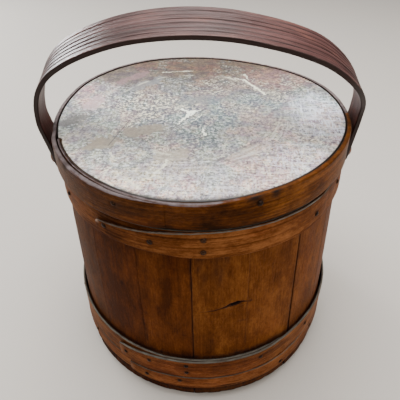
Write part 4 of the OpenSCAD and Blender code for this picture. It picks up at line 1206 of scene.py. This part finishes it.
def handle():
    c = smooth_path(BOW, 30)
    s = np.concatenate([[0], np.cumsum(np.hypot(*np.diff(c, axis=0).T))])
    total = s[-1]
    want = np.concatenate([[0.5, 0.7, 1.1, 1.8, 2.8, 4.0], np.arange(5.5, total - 5.5, 1.9), total - np.array([4.0, 2.8, 1.8, 1.1, 0.7, 0.5])])
    x, h = np.interp(want, s, c[:, 0]), np.interp(want, s, c[:, 1])
    ex, eh = np.gradient(x, want), np.gradient(h, want)
    ln = np.hypot(ex, eh)
    nx, nh = -eh / ln, ex / ln          # outward from the bow
    b = np.interp(h, (-14.5, 66, 76, 88, 101, 114, 126, 400),
                  (14.5, 14.5, 14.5 + 0.12 * 10.0, 14.5 + 0.36 * 10.0, 14.5 + 0.66 * 10.0, 14.5 + 0.9 * 10.0, 24.5, 24.5))
    b = np.where(h < 0, np.sqrt(np.clip(14.5 ** 2 - np.minimum(h, 0) ** 2, 0.36, None)), b)
    along = want
    # hand-shaved: a little uneven in width and thickness
    bw = b * 1.0 - 0.5 * (0.5 + 0.5 * noise(along / 55.0, 0, 0, 151)) * sstep(h, 20, 60)
    half = 2.6 - 0.22 * (0.5 + 0.5 * noise(along / 40.0, 1, 0, 152)) * sstep(h, 20, 60)
    half = np.where(h < -12, half * np.clip((h + 14.6) / 2.6, 0.25, 1), half)
    n_out = 93
    w = np.linspace(-1, 1, n_out)
    ro = 0.95
    grooves = np.array([-0.72, -0.43, -0.13, 0.16, 0.45, 0.74])
    W = w[None, :] + 0 * bw[:, None]
    yo = W * (bw[:, None] - ro)
    depth = np.zeros_like(W)
    drift = 0.018 * noise(along / 60.0, 2, 0, 153)[:, None]
    for i, gx in enumerate(grooves):
        q = (W - gx - drift - 0.012 * noise(along / 35.0, i, 0, 154)[:, None]) * bw[:, None]
        keep = np.clip(0.80 + 0.50 * noise(along / 34.0, i * 3.3, 0, 155), 0.25, 1)[:, None]
        depth = np.maximum(depth, keep * np.exp(-(q / 0.82) ** 2))
    # lesser scratches between them
    fine = np.clip(noise(W * bw[:, None] / 0.9, along[:, None] / 75.0, 0, 156) - 0.35, 0, 1)
    fade = (sstep(h, 40, 92))[:, None]
    e_out = half[:, None] - (0.95 * depth + 0.25 * fine) * fade - 0.22 * (1 - (W ** 2)) * fade
    e_out = e_out + 0.05 * noise(W * 6, along[:, None] / 9.0, 0, 157)
    corner = np.radians([22, 45, 68])
    yc = (bw[:, None] - ro) + ro * np.sin(corner)[None, :]
    ec = (half[:, None] - ro) + ro * np.cos(corner)[None, :]
    side_e = np.linspace(1, -1, 5)[None, :] * (half[:, None] - ro)
    side_y = bw[:, None] + 0 * side_e
    n_in = 13
    w_in = np.linspace(1, -1, n_in)[None, :]
    y_in = w_in * (bw[:, None] - ro)
    e_in = -half[:, None] + 0.12 * noise(w_in * 3, along[:, None] / 14.0, 0, 158)
    E = np.concatenate([e_out, ec, side_e, -ec[:, ::-1], e_in, -ec, side_e[:, ::-1], ec[:, ::-1]], 1)
    Y = np.concatenate([yo, yc, side_y, yc[:, ::-1], y_in, -yc, -side_y, -yc[:, ::-1]], 1)
    part = np.concatenate([np.zeros(n_out), np.full(3, 0.5), np.full(5, 1.0), np.full(3, 1.5), np.full(n_in, 2.0), np.full(3, 1.5), np.full(5, 1.0), np.full(3, 0.5)])
    x = x + 3.0 * (1 - sstep(h, 4, 78)) * (x < 0)
    px = x[:, None] + nx[:, None] * E
    ph = h[:, None] + nh[:, None] * E
    ca, sa = math.cos(math.radians(LEAN)), math.sin(math.radians(LEAN))
    # the bow is racked: its left shoulder stands further back than its right one
    Y0 = Y
    Y = Y - 9.0 * (px / 150.0) * np.clip((h[:, None] - 58) / 60, 0, 1)
    wy = PIVOT_Y + Y * ca - ph * sa
    wz = PIVOT_Z + Y * sa + ph * ca
    P = np.stack([px, wy, wz], -1)
    groove = np.zeros_like(E)
    groove[:, :n_out] = np.clip(depth * 1.25 + 0.9 * fine, 0, 1) * fade
    side = np.clip(((part >= 0.5) & (part <= 1.5)).astype(float) + 0 * part, 0, 1)[None, :] + 0 * E
    wear = np.zeros_like(E)
    wear += 0.50 * (part == 0.5)[None, :] * sstep(h, 70, 120)[:, None] * (0.7 + 0.5 * noise(along / 22.0, 5, 0, 159)[:, None])
    wear[:, :n_out] += 0.12 * fade * (0.5 + 0.5 * noise(along / 28.0, 6, 0, 160)[:, None])
    legs = 1 - sstep(h, 60, 110)[:, None]
    # near black on the side faces: painted shade; the legs' outer face a little darker
    dark = np.clip(side * 0.95 + 0.30 * legs * (part == 0)[None, :], 0, 1)
    tone = 0.08 * noise(along / 60.0, 8, 0, 161)[:, None] - 0.10 * legs + 0.10 * (part == 2)[None, :] + 0.02 * sstep(h, 110, 150)[:, None] + 0 * E
    g = Geo()
    ids = g.grid(P, vec(along[:, None] + 0 * E, Y0 + 400, E), vec(np.clip(wear, 0, 1), groove, dark), vec(tone, 0 * E, 0 * E), closed_v=True)
    g.cap(ids[0])
    g.cap(ids[-1][::-1])
    g.close()
    bore(g.make("look_handle", ["handle"], "bail", [handle_mat.m], sharp=60), 6.45)


handle()


# ---------------------------------------------------------------- pegs
def peg(side, name):
    g = Geo()
    x1 = 168.3 + 2.6 + 0.2
    prof = [(0.3, 143.5), (5.2, 143.5), (5.9, 143.9), (6.3, 144.8), (6.3, 158), (6.3, x1), (8.6, x1 + 0.05), (9.3, x1 + 0.5), (9.5, x1 + 1.3), (9.3, x1 + 2.4),
            (8.7, x1 + 3.6), (7.7, x1 + 4.6), (6.3, x1 + 5.5), (4.6, x1 + 6.1), (2.6, x1 + 6.45), (0.9, x1 + 6.6), (0.3, x1 + 6.6)]
    ang = np.linspace(0, 360, 48, endpoint=False)
    rr = np.array([p[0] for p in prof])[:, None] + 0 * ang
    xx = np.array([p[1] for p in prof])[:, None] + 0 * ang
    head = (xx > x1)
    rr = rr * (1 + 0.022 * head * noise(np.cos(rad(ang)) * 1.5, np.sin(rad(ang)) * 1.5, side, 171)[None, :])
    xx = xx - 0.25 * head * (0.5 + 0.5 * noise(rr * np.cos(rad(ang)) / 3.0, rr * np.sin(rad(ang)) / 3.0, side, 172))
    y, z = PIVOT_Y + rr * np.cos(rad(ang)), PIVOT_Z + rr * np.sin(rad(ang))
    P = np.stack([side * xx + (2.65 if side < 0 else 0.0), y, z], -1)
    dirt_and_shade = 0.55 * np.exp(-np.clip(xx - x1, 0, 9) / 0.8) + 0.2 * (xx > x1 + 6.2)
    wear = 0.35 * head * np.exp(-((rr - 8.9) / 0.9) ** 2)
    ids = g.grid(P, vec(xx * 1.0 + 60 * side, y * 1.0, z), vec(wear, np.clip(dirt_and_shade, 0, 1), 0 * xx), vec(0 * xx, 0.3 + 0 * xx, 0 * xx), closed_v=True)
    g.cap(ids[0])
    g.cap(ids[-1][::-1])
    g.close()
    g.make("look_" + name, [name], "bucket", [peg_mat.m], sharp=50)


peg(1, "right_peg")
peg(-1, "left_peg")


# ---------------------------------------------------------------- floor, light, camera
def floor():
    me = bpy.data.meshes.new("floor")
    me.from_pydata([(-6, -6, 0), (6, -6, 0), (6, 6, 0), (-6, 6, 0)], [], [(0, 1, 2, 3)])
    ob = bpy.data.objects.new("floor", me)
    bpy.context.scene.collection.objects.link(ob)
    m = Mat("floor")
    m.b.inputs["Base Color"].default_value = (0.40, 0.37, 0.335, 1)
    m.b.inputs["Roughness"].default_value = 0.75
    me.materials.append(m.m)


floor()


def area(name, at, to, size, power, colour=(1, 1, 1)):
    lamp = bpy.data.lights.new(name, "AREA")
    lamp.shape, lamp.size, lamp.size_y = "RECTANGLE", size[0], size[1]
    lamp.energy, lamp.color = power, colour
    ob = bpy.data.objects.new(name, lamp)
    ob.location = at
    ob.rotation_euler = (Vector(to) - Vector(at)).to_track_quat("-Z", "Y").to_euler()
    bpy.context.scene.collection.objects.link(ob)


area("window", (-1.5, 1.86, 0.88), (-0.11, -0.03, 0.39), (0.55, 0.62), 42, (0.97, 0.99, 1.0))
area("above", (-0.15, 0.30, 2.0), (0, 0, 0.25), (2.2, 2.0), 130, (1.0, 0.99, 0.98))
area("fill", (1.5, -1.2, 1.2), (0, 0, 0.15), (1.2, 1.0), 22, (1.0, 0.95, 0.88))

world = bpy.data.worlds.new("studio")
bpy.context.scene.world = world
world.use_nodes = True
world.node_tree.nodes["Background"].inputs[0].default_value = (1.0, 0.98, 0.95, 1)
world.node_tree.nodes["Background"].inputs[1].default_value = 0.26

cam = bpy.data.cameras.new("camera")
cam.sensor_fit, cam.sensor_width, cam.lens = "HORIZONTAL", 36.0, 36.877
cam.clip_start, cam.clip_end = 0.01, 50
cam.dof.use_dof = False
cam_ob = bpy.data.objects.new("camera", cam)
bpy.context.scene.collection.objects.link(cam_ob)
pitch, yaw, roll = math.radians(39.648), math.radians(-0.1547), math.radians(-1.4105)
F = Vector((math.sin(yaw) * math.cos(pitch), math.cos(yaw) * math.cos(pitch), -math.sin(pitch)))
Rv = Vector((math.cos(yaw), -math.sin(yaw), 0))
Uv = Rv.cross(F)
R2 = Rv * math.cos(roll) + Uv * math.sin(roll)
U2 = -Rv * math.sin(roll) + Uv * math.cos(roll)
at = Vector((0.0, -0.4131, 0.5179))
cam_ob.matrix_world = Matrix(((R2[0], U2[0], -F[0], at[0]), (R2[1], U2[1], -F[1], at[1]), (R2[2], U2[2], -F[2], at[2]), (0, 0, 0, 1)))
bpy.context.scene.camera = cam_ob
